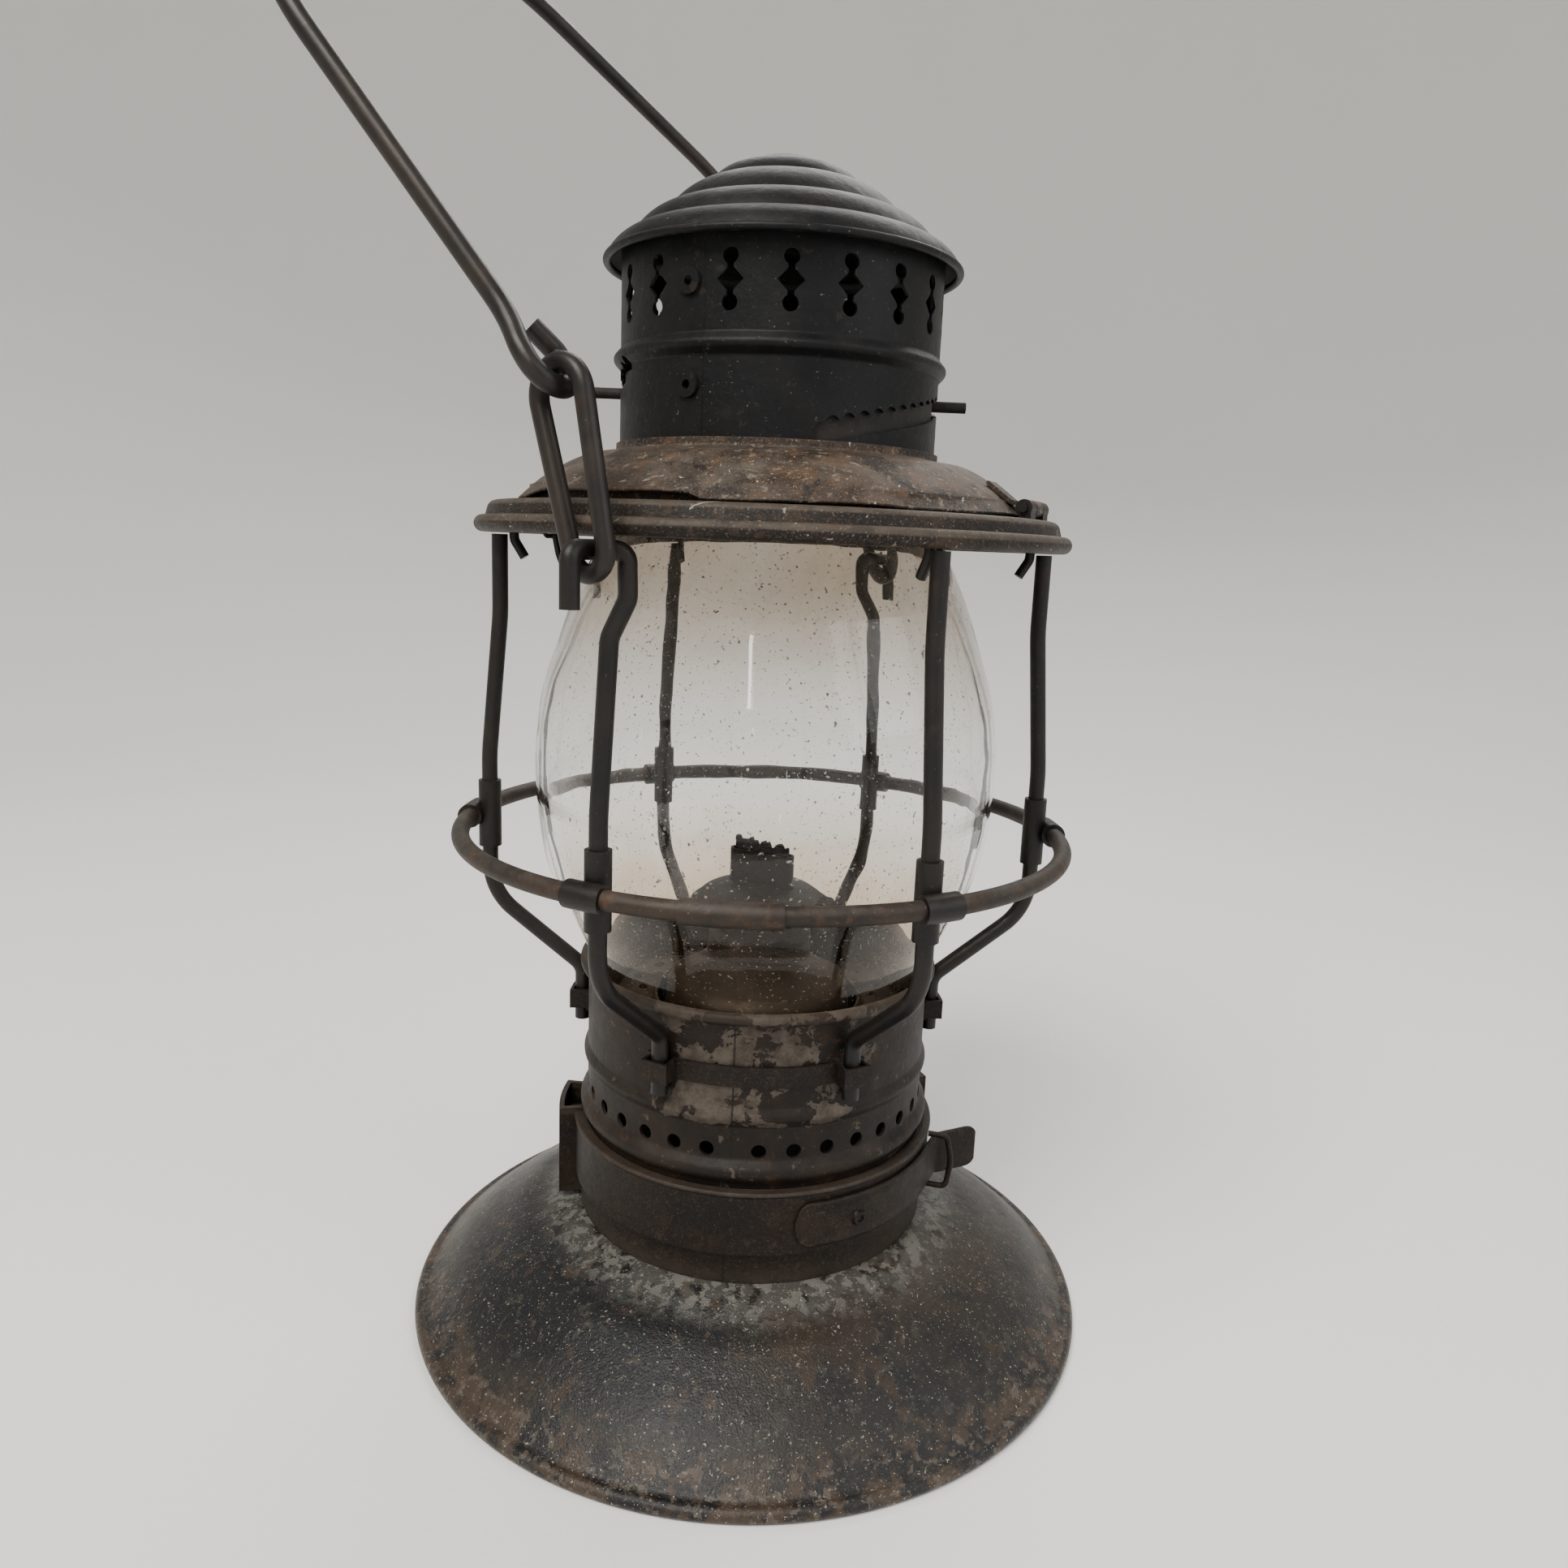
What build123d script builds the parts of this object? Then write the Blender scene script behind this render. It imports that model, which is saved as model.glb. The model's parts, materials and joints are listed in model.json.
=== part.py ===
"""Railroad hand lantern: a bell-footed base with its oil burner, a wire cage round a tall glass globe,
a hinged chimney lid with a screw-down globe clamp, and a wire bail on two loose links.

Millimetres, +Z up. The origin is the centre of the foot's rim on the ground. An azimuth is counted from
the front (-Y) towards the right (+X); the leaf latch sits at the front right.
"""

import os
from math import atan2, cos, degrees, radians, sin

from build123d import *

os.makedirs("parts", exist_ok=True)

# --- driving dimensions ---------------------------------------------------------------------------
SHEET = 0.8                    # sheet metal of the body, lid and chimney
WIRE = 4.0                     # cage uprights and links
HEAVY_WIRE = 4.3               # guard ring and bail
GAP = 0.3                      # clearance between pieces that move past each other

FOOT_RADIUS = 89.0             # 7 inch bell foot
FOOT_BEAD = 1.8
COLLAR_BOTTOM = 27.0
COLLAR_TOP = 51.2
COLLAR_RADIUS = 46.0
BAND_BOTTOM = 35.5
BAND_TOP = 51.5
BAND_RADIUS = 47.6
POCKET_RADIUS = 51.9
POCKET_ANGLES = (-88, 118)
POCKET_HALF_ANGLE = 9.5

DRUM_RADIUS = 44.4             # air chamber and globe cup
SKIRT_RADIUS = 44.8
SKIRT_BOTTOM = 41.0
DRUM_TOP = 93.2
AIR_HOLES = 33
AIR_HOLE_RADIUS = 1.8
AIR_HOLE_HEIGHT = 60.3
AIR_HOLE_START = 2.2
AIR_HOLE_PITCH = 10.75

WIRE_ANGLES = (-28, 29, 94, 152, 207, 267)
EYE_ANGLES = (-28, 152)        # the two uprights that carry the bail links
WIRE_FOOT_RADIUS = 46.9
WIRE_RING_RADIUS = 71.6
WIRE_TOP_RADIUS = 68.5
WIRE_TOP = 199.7
RING_RADIUS = 75.85
RING_HEIGHT = 128.0

RIM_BEAD = 1.95
RIM_RADIUS = 71.85
LEDGE_HEIGHT = 206.9
LID_OPENING = 60.2
LID_RADIUS = 61.2
HINGE_ANGLE = 63
HINGE_RADIUS = 64.2
HINGE_HEIGHT = 209.6
CATCH_ANGLE = HINGE_ANGLE - 180

CHIMNEY_RADIUS = 38.0
CHIMNEY_BOTTOM = 216.8
CHIMNEY_TOP = 265.0
CHIMNEY_BEAD_HEIGHT = 241.0
VENTS = 18
VENT_HEIGHT = 253.6
VENT_START = -17
VENT_PITCH = 19.5
SEAM_ANGLE = -31.2             # middle of the riveted lap
EYELET_HEIGHTS = (232.6, 253.5)

CLAMP_RISE = 0.136             # climb of the serrated slots, mm per degree
CLAMP_PIN_ANGLES = (90, -90)
CLAMP_PIN_HEIGHT = 233.9
SLOT_BACK = 75                 # slot below and beyond the pin, degrees
SLOT_AHEAD = 28
SLOT_WIDTH = 4.0
SLOT_STEP = 5.0                # between the cuts that make the slot, degrees
SCALLOP_PITCH = 5.7

BURNER_ANGLE = 60              # azimuth of the wick raiser's shaft
SHAFT_HEIGHT = 109.0
SHAFT_OFFSET = 4.1             # from the burner's axis, so that the sprockets only bite the wick
THUMB_WHEEL_RADIUS = 4.8

LATCH_BOTTOM = 37.3
LATCH_TOP = 48.6
LATCH_RADIUS = 48.3            # middle of the leaf's thickness
LATCH_HINGE_ANGLE = 38
KEEPER_ANGLE = 74

EYE_HEIGHT = 197.3             # axis on which the links swing
LINK_PLANE = 75.6              # distance of each link's plane from the lantern's axis
LINK_TILT = 13.0
LINK_TWIST = 10.0
LINK_BOTTOM_RADIUS = 4.7
LINK_TOP_RADIUS = 6.25
LINK_SPACING = 29.0            # between the centres of the link's two end arcs
BAIL_LEAN = 36.5
BAIL_EYE_WIDTH = 11.5


# --- placing helpers ------------------------------------------------------------------------------
def outward(azimuth):
    """Unit vector from the lantern's axis towards an azimuth."""
    return Vector(sin(radians(azimuth)), -cos(radians(azimuth)), 0)


def at(azimuth, radius, height):
    return outward(azimuth) * radius + Vector(0, 0, height)


def facing(azimuth, radius, height):
    """Plane that looks outwards, with its X towards rising azimuth and its Y up."""
    return Plane(origin=at(azimuth, radius, height), x_dir=outward(azimuth + 90), z_dir=outward(azimuth))


def upright(azimuth):
    """Vertical plane through the axis, with its X outwards and its Y up."""
    return Plane(origin=(0, 0, 0), x_dir=outward(azimuth), z_dir=outward(azimuth - 90))


def ground(azimuth, height=0.0):
    """Level plane with its X towards an azimuth."""
    return Plane(origin=(0, 0, height), x_dir=outward(azimuth), z_dir=(0, 0, 1))


# --- shape helpers --------------------------------------------------------------------------------
def turned_sheet(points, radii, thickness=SHEET):
    """Sheet of even thickness, turned about the lantern's axis; the points are its middle line."""
    with BuildPart() as turned:
        with BuildSketch(Plane.XZ):
            with BuildLine():
                FilletPolyline(*points, radius=radii)
                offset(amount=thickness / 2)
            make_face()
        revolve(axis=Axis.Z)
    return turned.part


def sector_face(inner, outer, start, end):
    """Level face between two radii and two azimuths."""
    with BuildSketch(Plane.XY) as face:
        with BuildLine():
            far = CenterArc((0, 0), outer, start - 90, end - start)
            near = CenterArc((0, 0), inner, start - 90, end - start)
            Line(far @ 0, near @ 0)
            Line(far @ 1, near @ 1)
        make_face()
    return face.sketch


def sector(inner, outer, start, end, bottom, top):
    """Block between two radii and two azimuths."""
    with BuildPart() as block:
        with BuildSketch(Plane.XY.offset(bottom)):
            add(sector_face(inner, outer, start, end))
        extrude(amount=top - bottom)
    return block.part


def bent_wire(points, radii, diameter, plane=Plane.XY, closed=False):
    """Round wire along straight runs joined by tangent bends."""
    with BuildPart() as wire:
        with BuildLine(plane) as path:
            FilletPolyline(*points, radius=radii, close=closed)
        start = path.line.edges()[0]
        with BuildSketch(Plane(origin=start @ 0, z_dir=start % 0)):
            Circle(diameter / 2)
        sweep(path=path.wires()[0])
    return wire.part


def strip(points, radii, thickness, width, plane):
    """Flat strip bent in a plane, with its width across the plane."""
    with BuildPart() as bent:
        with BuildSketch(plane):
            with BuildLine():
                FilletPolyline(*points, radius=radii)
                offset(amount=thickness / 2)
            make_face()
        extrude(amount=width / 2, both=True)
    return bent.part


def ring_tube(azimuth, half_angle, radius, bore):
    """Length of tube that follows the guard ring."""
    with BuildPart() as tube:
        with BuildSketch(upright(azimuth - half_angle)):
            with Locations((RING_RADIUS, RING_HEIGHT)):
                Circle(radius)
                Circle(bore, mode=Mode.SUBTRACT)
        revolve(axis=Axis.Z, revolution_arc=2 * half_angle)
    return tube.part


def save(shape, name):
    shape.label = name
    export_step(shape, f"parts/{name}.step")


# --- base: bell foot, collar, band with its lug pockets -------------------------------------------
def bell_base():
    """Spun bell with a rolled rim that is worn flat where it stands on the ground."""
    middle_line = ((42.9, 26.4), (49.5, 26.4), (62.0, 20.9), (75.5, 12.1), (FOOT_RADIUS - 2.8, 2.7))
    with BuildPart() as bell:
        add(turned_sheet(middle_line, (12, 60, 60), 1.0))
        with BuildSketch(Plane.XZ):
            with Locations((FOOT_RADIUS - FOOT_BEAD, FOOT_BEAD - 0.2)):
                Circle(FOOT_BEAD)
            with Locations((FOOT_RADIUS, -2)):
                Rectangle(12, 4, mode=Mode.SUBTRACT)
        revolve(axis=Axis.Z)
    save(bell.part, "bell_base")


def base_collar():
    notch_half = POCKET_HALF_ANGLE - 2
    with BuildPart() as collar:
        with BuildSketch(Plane.XY.offset(COLLAR_BOTTOM)):
            Circle(COLLAR_RADIUS)
            Circle(COLLAR_RADIUS - 0.9, mode=Mode.SUBTRACT)
        extrude(amount=COLLAR_TOP - COLLAR_BOTTOM)
        for angle in POCKET_ANGLES:
            add(sector(44, 47, angle - notch_half, angle + notch_half, 40.0, 52), mode=Mode.SUBTRACT)
    save(collar.part, "base_collar")


def base_band():
    wall = 1.3
    inside_half = POCKET_HALF_ANGLE - 1.6
    with BuildPart() as band:
        with BuildSketch(Plane.XY.offset(BAND_BOTTOM)):
            Circle(BAND_RADIUS)
        extrude(amount=BAND_TOP - BAND_BOTTOM)
        with BuildSketch(Plane.XZ):
            with Locations((BAND_RADIUS - 0.3, BAND_TOP - 0.7)):
                Circle(0.7)
        revolve(axis=Axis.Z)
        for angle in POCKET_ANGLES:
            start = angle - POCKET_HALF_ANGLE
            add(sector(44, POCKET_RADIUS, start, start + 2 * POCKET_HALF_ANGLE, 28.5, BAND_TOP + 0.8))
        for angle in POCKET_ANGLES:
            inner = sector(44, POCKET_RADIUS - wall, angle - inside_half, angle + inside_half, 36, 60)
            add(inner, mode=Mode.SUBTRACT)
        with BuildSketch(Plane.XY):
            Circle(COLLAR_RADIUS + 0.05)
        extrude(amount=80, mode=Mode.SUBTRACT)
    save(band.part, "base_band")


# --- leaf latch -----------------------------------------------------------------------------------
def latch_foot():
    inner = LATCH_RADIUS - SHEET / 2
    with BuildPart() as foot:
        add(sector(inner, inner + SHEET, 13, LATCH_HINGE_ANGLE - 0.4, LATCH_BOTTOM, LATCH_TOP))
        with BuildSketch(facing(18.2, LATCH_RADIUS, 42.6)):
            SlotOverall(3.2, 1.6)
        extrude(amount=2, both=True, mode=Mode.SUBTRACT)
    save(foot.part, "latch_foot")


def latch_rivet():
    head_plane = facing(32.7, LATCH_RADIUS + SHEET / 2, 42.4)
    with BuildPart() as rivet:
        with BuildSketch(head_plane):
            Circle(2.0)
        extrude(amount=0.9, taper=20)
        with BuildSketch(head_plane.offset(0.5)):
            Circle(0.9)
        extrude(amount=1.0, mode=Mode.SUBTRACT)
    save(rivet.part, "latch_rivet")


def latch_leaf():
    start = LATCH_HINGE_ANGLE + 0.35
    end = 69
    along = outward(end + 90)
    away = outward(end)
    bend = at(end, LATCH_RADIUS, 0)
    knee = bend + along * 8 + away * 0.6
    tip = knee + (along * 0.72 + away * 0.69) * 13
    with BuildPart() as leaf:
        with BuildSketch(Plane.XY.offset(LATCH_BOTTOM)):
            with BuildLine():
                CenterArc((0, 0), LATCH_RADIUS, start - 90, end - start)
                FilletPolyline(bend, knee, tip, radius=6)
                offset(amount=SHEET / 2)
            make_face()
        extrude(amount=LATCH_TOP - LATCH_BOTTOM)
    save(leaf.part, "latch_leaf")


def latch_keeper():
    outer = 54.4
    inner = BAND_RADIUS + 0.1
    points = ((inner + 0.4, 50.2), (outer - 1.4, 50.2), (outer, 43.5), (outer - 1.0, 36.0), (inner, 36.0))
    save(bent_wire(points, (1.8, 12, 1.8), 1.5, upright(KEEPER_ANGLE)), "latch_keeper")


# --- oil fount and burner -------------------------------------------------------------------------
def oil_fount():
    with BuildPart() as fount:
        with BuildSketch(Plane.XZ):
            with BuildLine():
                FilletPolyline((0, 9), (41.6, 9), (41.6, 36), (24, 50), (24, 88), (12.6, 95.5), (0, 95.5),
                               radius=(3, 6, 8, 5, 2))
                Line((0, 95.5), (0, 9))
            make_face()
        revolve(axis=Axis.Z)
        offset(amount=-SHEET, mode=Mode.SUBTRACT)
        with BuildSketch(Plane.XZ):
            with Locations((43.0, 28.2)):
                Rectangle(3.4, 1.6)
        revolve(axis=Axis.Z)
        with BuildSketch(ground(BURNER_ANGLE, 92)):
            SlotOverall(17.6, 3.6)
        extrude(amount=6, mode=Mode.SUBTRACT)
    save(fount.part, "oil_fount")


def filler_cap():
    plane = ground(BURNER_ANGLE + 180, 41.0)
    with BuildPart() as cap:
        with BuildSketch(plane):
            with Locations((33, 0)):
                Circle(4.6)
        extrude(amount=5)
        with BuildSketch(plane.offset(2.2)):
            with Locations((33, 0)):
                Circle(5.4)
        extrude(amount=2.8)
        fillet(cap.faces().sort_by(Axis.Z)[-1].edges(), radius=0.8)
        with BuildSketch(Plane.XZ):
            with BuildLine():
                Polyline((0, 36), (42.2, 36), (24, 50.6), (0, 50.6), close=True)
            make_face()
        revolve(axis=Axis.Z, mode=Mode.SUBTRACT)
    save(cap.part, "filler_cap")


def burner_body():
    with BuildPart() as body:
        with BuildSketch(Plane.XZ):
            with BuildLine():
                Polyline((10.4, 95.6), (13.6, 95.6), (13.6, 99.6), (11.6, 100.6), (11.6, 106.4),
                         (10.4, 106.4), close=True)
            make_face()
        revolve(axis=Axis.Z)
        with BuildSketch(*[facing(20 * k, 11.6, 103.2) for k in range(1, 19)]):
            Circle(1.0)
        extrude(amount=2, both=True, mode=Mode.SUBTRACT)
    save(body.part, "burner_body")


def burner_gallery():
    with BuildPart() as gallery:
        with BuildSketch(Plane.XZ):
            with BuildLine():
                FilletPolyline((18.0, 108.0), (18.0, 106.9), (10, 106.9), radius=0.5)
                offset(amount=SHEET / 2)
            make_face()
            with BuildLine():
                Spline((17.8, 107.8), (15.5, 110.4), (11.5, 112.4), (7, 113.2), (0, 113.4),
                       tangents=((-0.5, 1), (-1, 0)))
                Polyline((0, 113.4), (0, 112.6), (7, 112.4))
                Spline((7, 112.4), (11, 111.6), (14.8, 109.6), (16.9, 107.2), tangents=((1, -0.1), (0.5, -1)))
                Line((16.9, 107.2), (17.8, 107.8))
            make_face()
        revolve(axis=Axis.Z)
        with BuildSketch(ground(BURNER_ANGLE, 100)):
            SlotOverall(18.8, 5.0)
        extrude(amount=20, mode=Mode.SUBTRACT)
        with BuildSketch(facing(BURNER_ANGLE, 8, SHAFT_HEIGHT)):
            with Locations((-SHAFT_OFFSET, 0)):
                Circle(1.5)
        extrude(amount=14, mode=Mode.SUBTRACT)
    save(gallery.part, "burner_gallery")


def wick_tube():
    window = facing(BURNER_ANGLE - 90, 0, SHAFT_HEIGHT)
    with BuildPart() as tube:
        with BuildSketch(ground(BURNER_ANGLE, 96)):
            SlotOverall(18.4, 4.6)
            SlotOverall(17.2, 3.2, mode=Mode.SUBTRACT)
        extrude(amount=25.4)
        with BuildSketch(window):
            Rectangle(13, 7)
        extrude(amount=6, mode=Mode.SUBTRACT)
    save(tube.part, "wick_tube")


def wick():
    with BuildPart() as web:
        with BuildSketch(ground(BURNER_ANGLE, 97.5)):
            RectangleRounded(16.2, 2.4, 0.8)
        extrude(amount=25.2)
    save(web.part, "wick")


def wick_raiser():
    """Shaft with two sprockets that bite the wick, and a milled thumb wheel outside the gallery."""
    shaft = ground(BURNER_ANGLE, SHAFT_HEIGHT)
    centre = shaft.origin + outward(BURNER_ANGLE - 90) * SHAFT_OFFSET
    across = Plane(origin=centre, x_dir=(0, 0, 1), z_dir=outward(BURNER_ANGLE))
    with BuildPart() as raiser:
        with BuildSketch(across.offset(-6.0)):
            Circle(0.9)
        extrude(amount=28.2)
        with BuildSketch(across.offset(-4.6), across.offset(3.4)):
            Circle(2.1)
            with PolarLocations(2.1, 10):
                Circle(0.45)
        extrude(amount=1.2)
        with BuildSketch(across.offset(20.0)):
            Circle(THUMB_WHEEL_RADIUS)
            with PolarLocations(THUMB_WHEEL_RADIUS + 0.15, 24):
                Circle(0.42, mode=Mode.SUBTRACT)
        extrude(amount=2.0)
    save(raiser.part, "wick_raiser")


# --- cage body: air drum, globe seat, lugs, straps, uprights, guard ring, rim ---------------------
def air_drum():
    middle = DRUM_RADIUS - SHEET / 2
    skirt = SKIRT_RADIUS - SHEET / 2
    middle_line = ((skirt, SKIRT_BOTTOM), (skirt, 52.4), (46.4, 55.2), (middle, 58.2), (middle, 66.4),
                   (middle + 1.2, 68.8), (middle, 71.2), (middle, DRUM_TOP))
    with BuildPart() as drum:
        add(turned_sheet(middle_line, (2, 2, 2, 1.5, 1.5, 1.5)))
        with BuildSketch(Plane.XZ):
            with Locations((DRUM_RADIUS + 0.6, DRUM_TOP)):
                Circle(1.5)
        revolve(axis=Axis.Z)
        hole_angles = [AIR_HOLE_START + AIR_HOLE_PITCH * k for k in range(AIR_HOLES)]
        with BuildSketch(*[facing(angle, DRUM_RADIUS, AIR_HOLE_HEIGHT) for angle in hole_angles]):
            Circle(AIR_HOLE_RADIUS)
        extrude(amount=3, both=True, mode=Mode.SUBTRACT)
    save(drum.part, "air_drum")


def globe_seat():
    """Pierced plate that the globe stands on, with a hole that clears the burner."""
    with BuildPart() as seat:
        add(turned_sheet(((26.6, 84.4), (28.4, 81.0), (43.0, 81.0)), 1.5))
        with BuildSketch(Plane.XY.offset(79)):
            with PolarLocations(32.4, 24):
                Circle(1.4)
            with PolarLocations(36.4, 24, start_angle=7.5):
                Circle(1.4)
        extrude(amount=4, mode=Mode.SUBTRACT)
    save(seat.part, "globe_seat")


def drum_lug(angle):
    """Bent tongue on the skirt that drops into a pocket of the base band."""
    with BuildPart() as lug:
        add(sector(SKIRT_RADIUS, SKIRT_RADIUS + SHEET, angle - 4.5, angle + 4.5, 42.4, 50))
        add(sector(SKIRT_RADIUS, POCKET_RADIUS - 2, angle - 4.5, angle + 4.5, 46.6, 47.6))
    return lug.part


def drum_strap(first, last):
    """Strap along the drum that bumps out over the feet of two neighbouring uprights."""
    inner = DRUM_RADIUS + 0.1
    over = WIRE_FOOT_RADIUS + WIRE / 2 + 0.1
    clear = 3.1
    with BuildPart() as strap:
        with BuildSketch(Plane.XY.offset(76.7)):
            add(sector_face(inner, inner + SHEET, first - 6, last + 6))
            for angle in (first, last):
                add(sector_face(inner, over + SHEET, angle - clear - 1, angle + clear + 1))
            for angle in (first, last):
                add(sector_face(inner - 1, over, angle - clear, angle + clear), mode=Mode.SUBTRACT)
        extrude(amount=5.0)
    return strap.part


def guard_wire(angle):
    """Upright: foot under the strap, a swell out to the guard ring, then up to the rim."""
    points = [(WIRE_FOOT_RADIUS, 73.0), (WIRE_FOOT_RADIUS, 87.5), (WIRE_RING_RADIUS, 107.0),
              (WIRE_RING_RADIUS, 144.0), (WIRE_TOP_RADIUS, 180.0)]
    radii = [5, 16, 60]
    if angle not in EYE_ANGLES:
        return bent_wire(points + [(WIRE_TOP_RADIUS, WIRE_TOP)], radii + [60], WIRE, upright(angle))
    return bent_wire(*eye_route(angle, points, radii), WIRE)


def eye_route(angle, points, radii):
    """Route of an upright that kinks aside, crosses the link's plane and ends in a downward peg."""
    aside = outward(angle + 90) * 4.6
    route = [at(angle, radius, height) for radius, height in points]
    route += [at(angle, 68.8, 188.0) + aside, at(angle, 69.3, EYE_HEIGHT) + aside,
              at(angle, 73.0, EYE_HEIGHT), at(angle, 81.4, EYE_HEIGHT), at(angle, 81.4, 186.0)]
    return route, radii + [5, 4, 2.4, 3.4, 2.4]


def guard_ring():
    with BuildPart() as ring:
        with BuildSketch(Plane.XZ):
            with Locations((RING_RADIUS, RING_HEIGHT)):
                Circle(HEAVY_WIRE / 2)
        revolve(axis=Axis.Z)
    save(ring.part, "guard_ring")


def ring_clip(angle):
    """Pressed cross clip round an upright and the guard ring."""
    bore = HEAVY_WIRE / 2 + 0.03
    hold = at(angle, WIRE_RING_RADIUS, 0)
    with BuildPart() as clip:
        add(ring_tube(angle, 3.4, bore + 0.9, bore))
        with BuildSketch(Plane.XY.offset(119.6)):
            with Locations(hold):
                Circle(WIRE / 2 + 0.9)
        extrude(amount=17.4)
        with BuildSketch(Plane.XY.offset(110)):
            with Locations(hold):
                Circle(WIRE / 2 + 0.03)
        extrude(amount=40, mode=Mode.SUBTRACT)
        with BuildSketch(Plane.XZ):
            with Locations((RING_RADIUS, RING_HEIGHT)):
                Circle(bore)
        revolve(axis=Axis.Z, mode=Mode.SUBTRACT)
    return clip.part


def rim_hook(angle):
    """Hooked end of an upright, pinched back inside the rim."""
    points = ((65.0, 204.8), (64.8, 198.4), (62.2, 194.2))
    return bent_wire(points, 3, 2.4, upright(angle))


def top_ring():
    bead = RIM_RADIUS - RIM_BEAD
    middle_line = ((LID_OPENING, 204.6), (LID_OPENING, LEDGE_HEIGHT), (68.0, LEDGE_HEIGHT), (69.2, 202.6))
    with BuildPart() as ring:
        add(turned_sheet(middle_line, (0.5, 1.6)))
        with BuildSketch(Plane.XZ):
            with Locations((bead, 202.0)):
                Circle(RIM_BEAD)
        revolve(axis=Axis.Z)
    save(ring.part, "top_ring")


def hinge_frame():
    """Plane across the lid's hinge pin, with its X outwards and its Z along the pin."""
    return Plane(origin=at(HINGE_ANGLE, HINGE_RADIUS, HINGE_HEIGHT), x_dir=outward(HINGE_ANGLE),
                 z_dir=outward(HINGE_ANGLE - 90))


def hinge_knuckle(start):
    across = hinge_frame().offset(start)
    with BuildPart() as knuckle:
        with BuildSketch(across):
            Circle(1.9)
            with Locations((0.4, -1.25)):
                Rectangle(2.6, 2.1)
            Circle(1.05, mode=Mode.SUBTRACT)
        extrude(amount=4)
    return knuckle.part


def hinge_pin():
    across = hinge_frame()
    with BuildPart() as pin:
        with BuildSketch(across):
            Circle(1.0)
        extrude(amount=8.2, both=True)
    save(pin.part, "hinge_pin")


def globe():
    """Tall globe: narrow seat, full belly, straight neck; glass of even thickness."""
    outline = ((42.4, 81.6), (43.2, 93.0), (49.8, 108.0), (54.9, 119.0), (57.4, 133.0), (58.0, 149.0),
               (56.3, 163.0), (52.7, 174.6), (48.6, 186.5), (43.0, 198.5), (39.0, 207.5), (38.1, 214.8))
    inside = ((39.6, 81.6), (40.4, 93.8), (47.2, 109.2), (52.1, 120.0), (54.6, 133.6), (55.2, 149.0),
              (53.5, 162.4), (50.0, 173.5), (46.0, 185.3), (40.5, 197.0), (36.4, 206.5), (35.3, 214.8))
    with BuildPart() as glass:
        with BuildSketch(Plane.XZ):
            with BuildLine():
                Spline(*outline)
                Spline(*inside)
                Line(outline[0], inside[0])
                Line(outline[-1], inside[-1])
            make_face()
        revolve(axis=Axis.Z)
        fillet(glass.faces().sort_by(Axis.Z)[-1].edges(), radius=0.9)
    save(glass.part, "globe")


def lid_catch():
    """Bent strip that swings on a staple under the rim, opposite the hinge."""
    points = ((64.0, 203.6), (66.2, 201.8), (64.6, 195.0), (60.6, 186.6))
    save(strip(points, (1.2, 4), 1.1, 4.0, upright(CATCH_ANGLE)), "lid_catch")


def catch_staple():
    points = ((-4.0, 205.6), (-4.0, 199.6), (4.0, 199.6), (4.0, 205.6))
    frame = facing(CATCH_ANGLE, 67.2, 0)
    save(bent_wire(points, 1.4, 1.2, frame), "catch_staple")


# --- lid: plate, hinge leaf, chimney --------------------------------------------------------------
def lid_plate():
    flange = CHIMNEY_RADIUS + 0.45
    middle_line = ((flange, 221.4), (flange, 219.6), (46.5, 218.2), (56.5, 212.3), (LID_RADIUS, 208.1))
    with BuildPart() as plate:
        add(turned_sheet(middle_line, (0.9, 20, 20)))
        with BuildSketch(Plane.XZ):
            with Locations((58.7, 207.4)):
                Rectangle(0.7, 5.6)
        revolve(axis=Axis.Z)
    save(plate.part, "lid_plate")


def lid_hinge_leaf():
    across = hinge_frame().offset(-2.8)
    with BuildPart() as leaf:
        with BuildSketch(across):
            with BuildLine():
                FilletPolyline((-9.8, 5.5), (-4.4, 1.5), (-1.4, 0.9), radius=1.5)
                offset(amount=0.45)
            make_face()
            Circle(1.9)
            Circle(1.05, mode=Mode.SUBTRACT)
        extrude(amount=5.6)
    save(leaf.part, "lid_hinge_leaf")


def slot_frames(pin_angle, pitch, lift=0.0):
    """Outward planes at even steps along the inclined slot that one clamp pin rides in."""
    start = pin_angle - SLOT_BACK
    count = int((SLOT_BACK + SLOT_AHEAD) / pitch)
    low = CLAMP_PIN_HEIGHT - SLOT_BACK * CLAMP_RISE
    angles = [start + pitch * (k + 0.5) for k in range(count)]
    return [facing(a, CHIMNEY_RADIUS - 2, low + (a - start) * CLAMP_RISE + lift) for a in angles]


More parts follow.
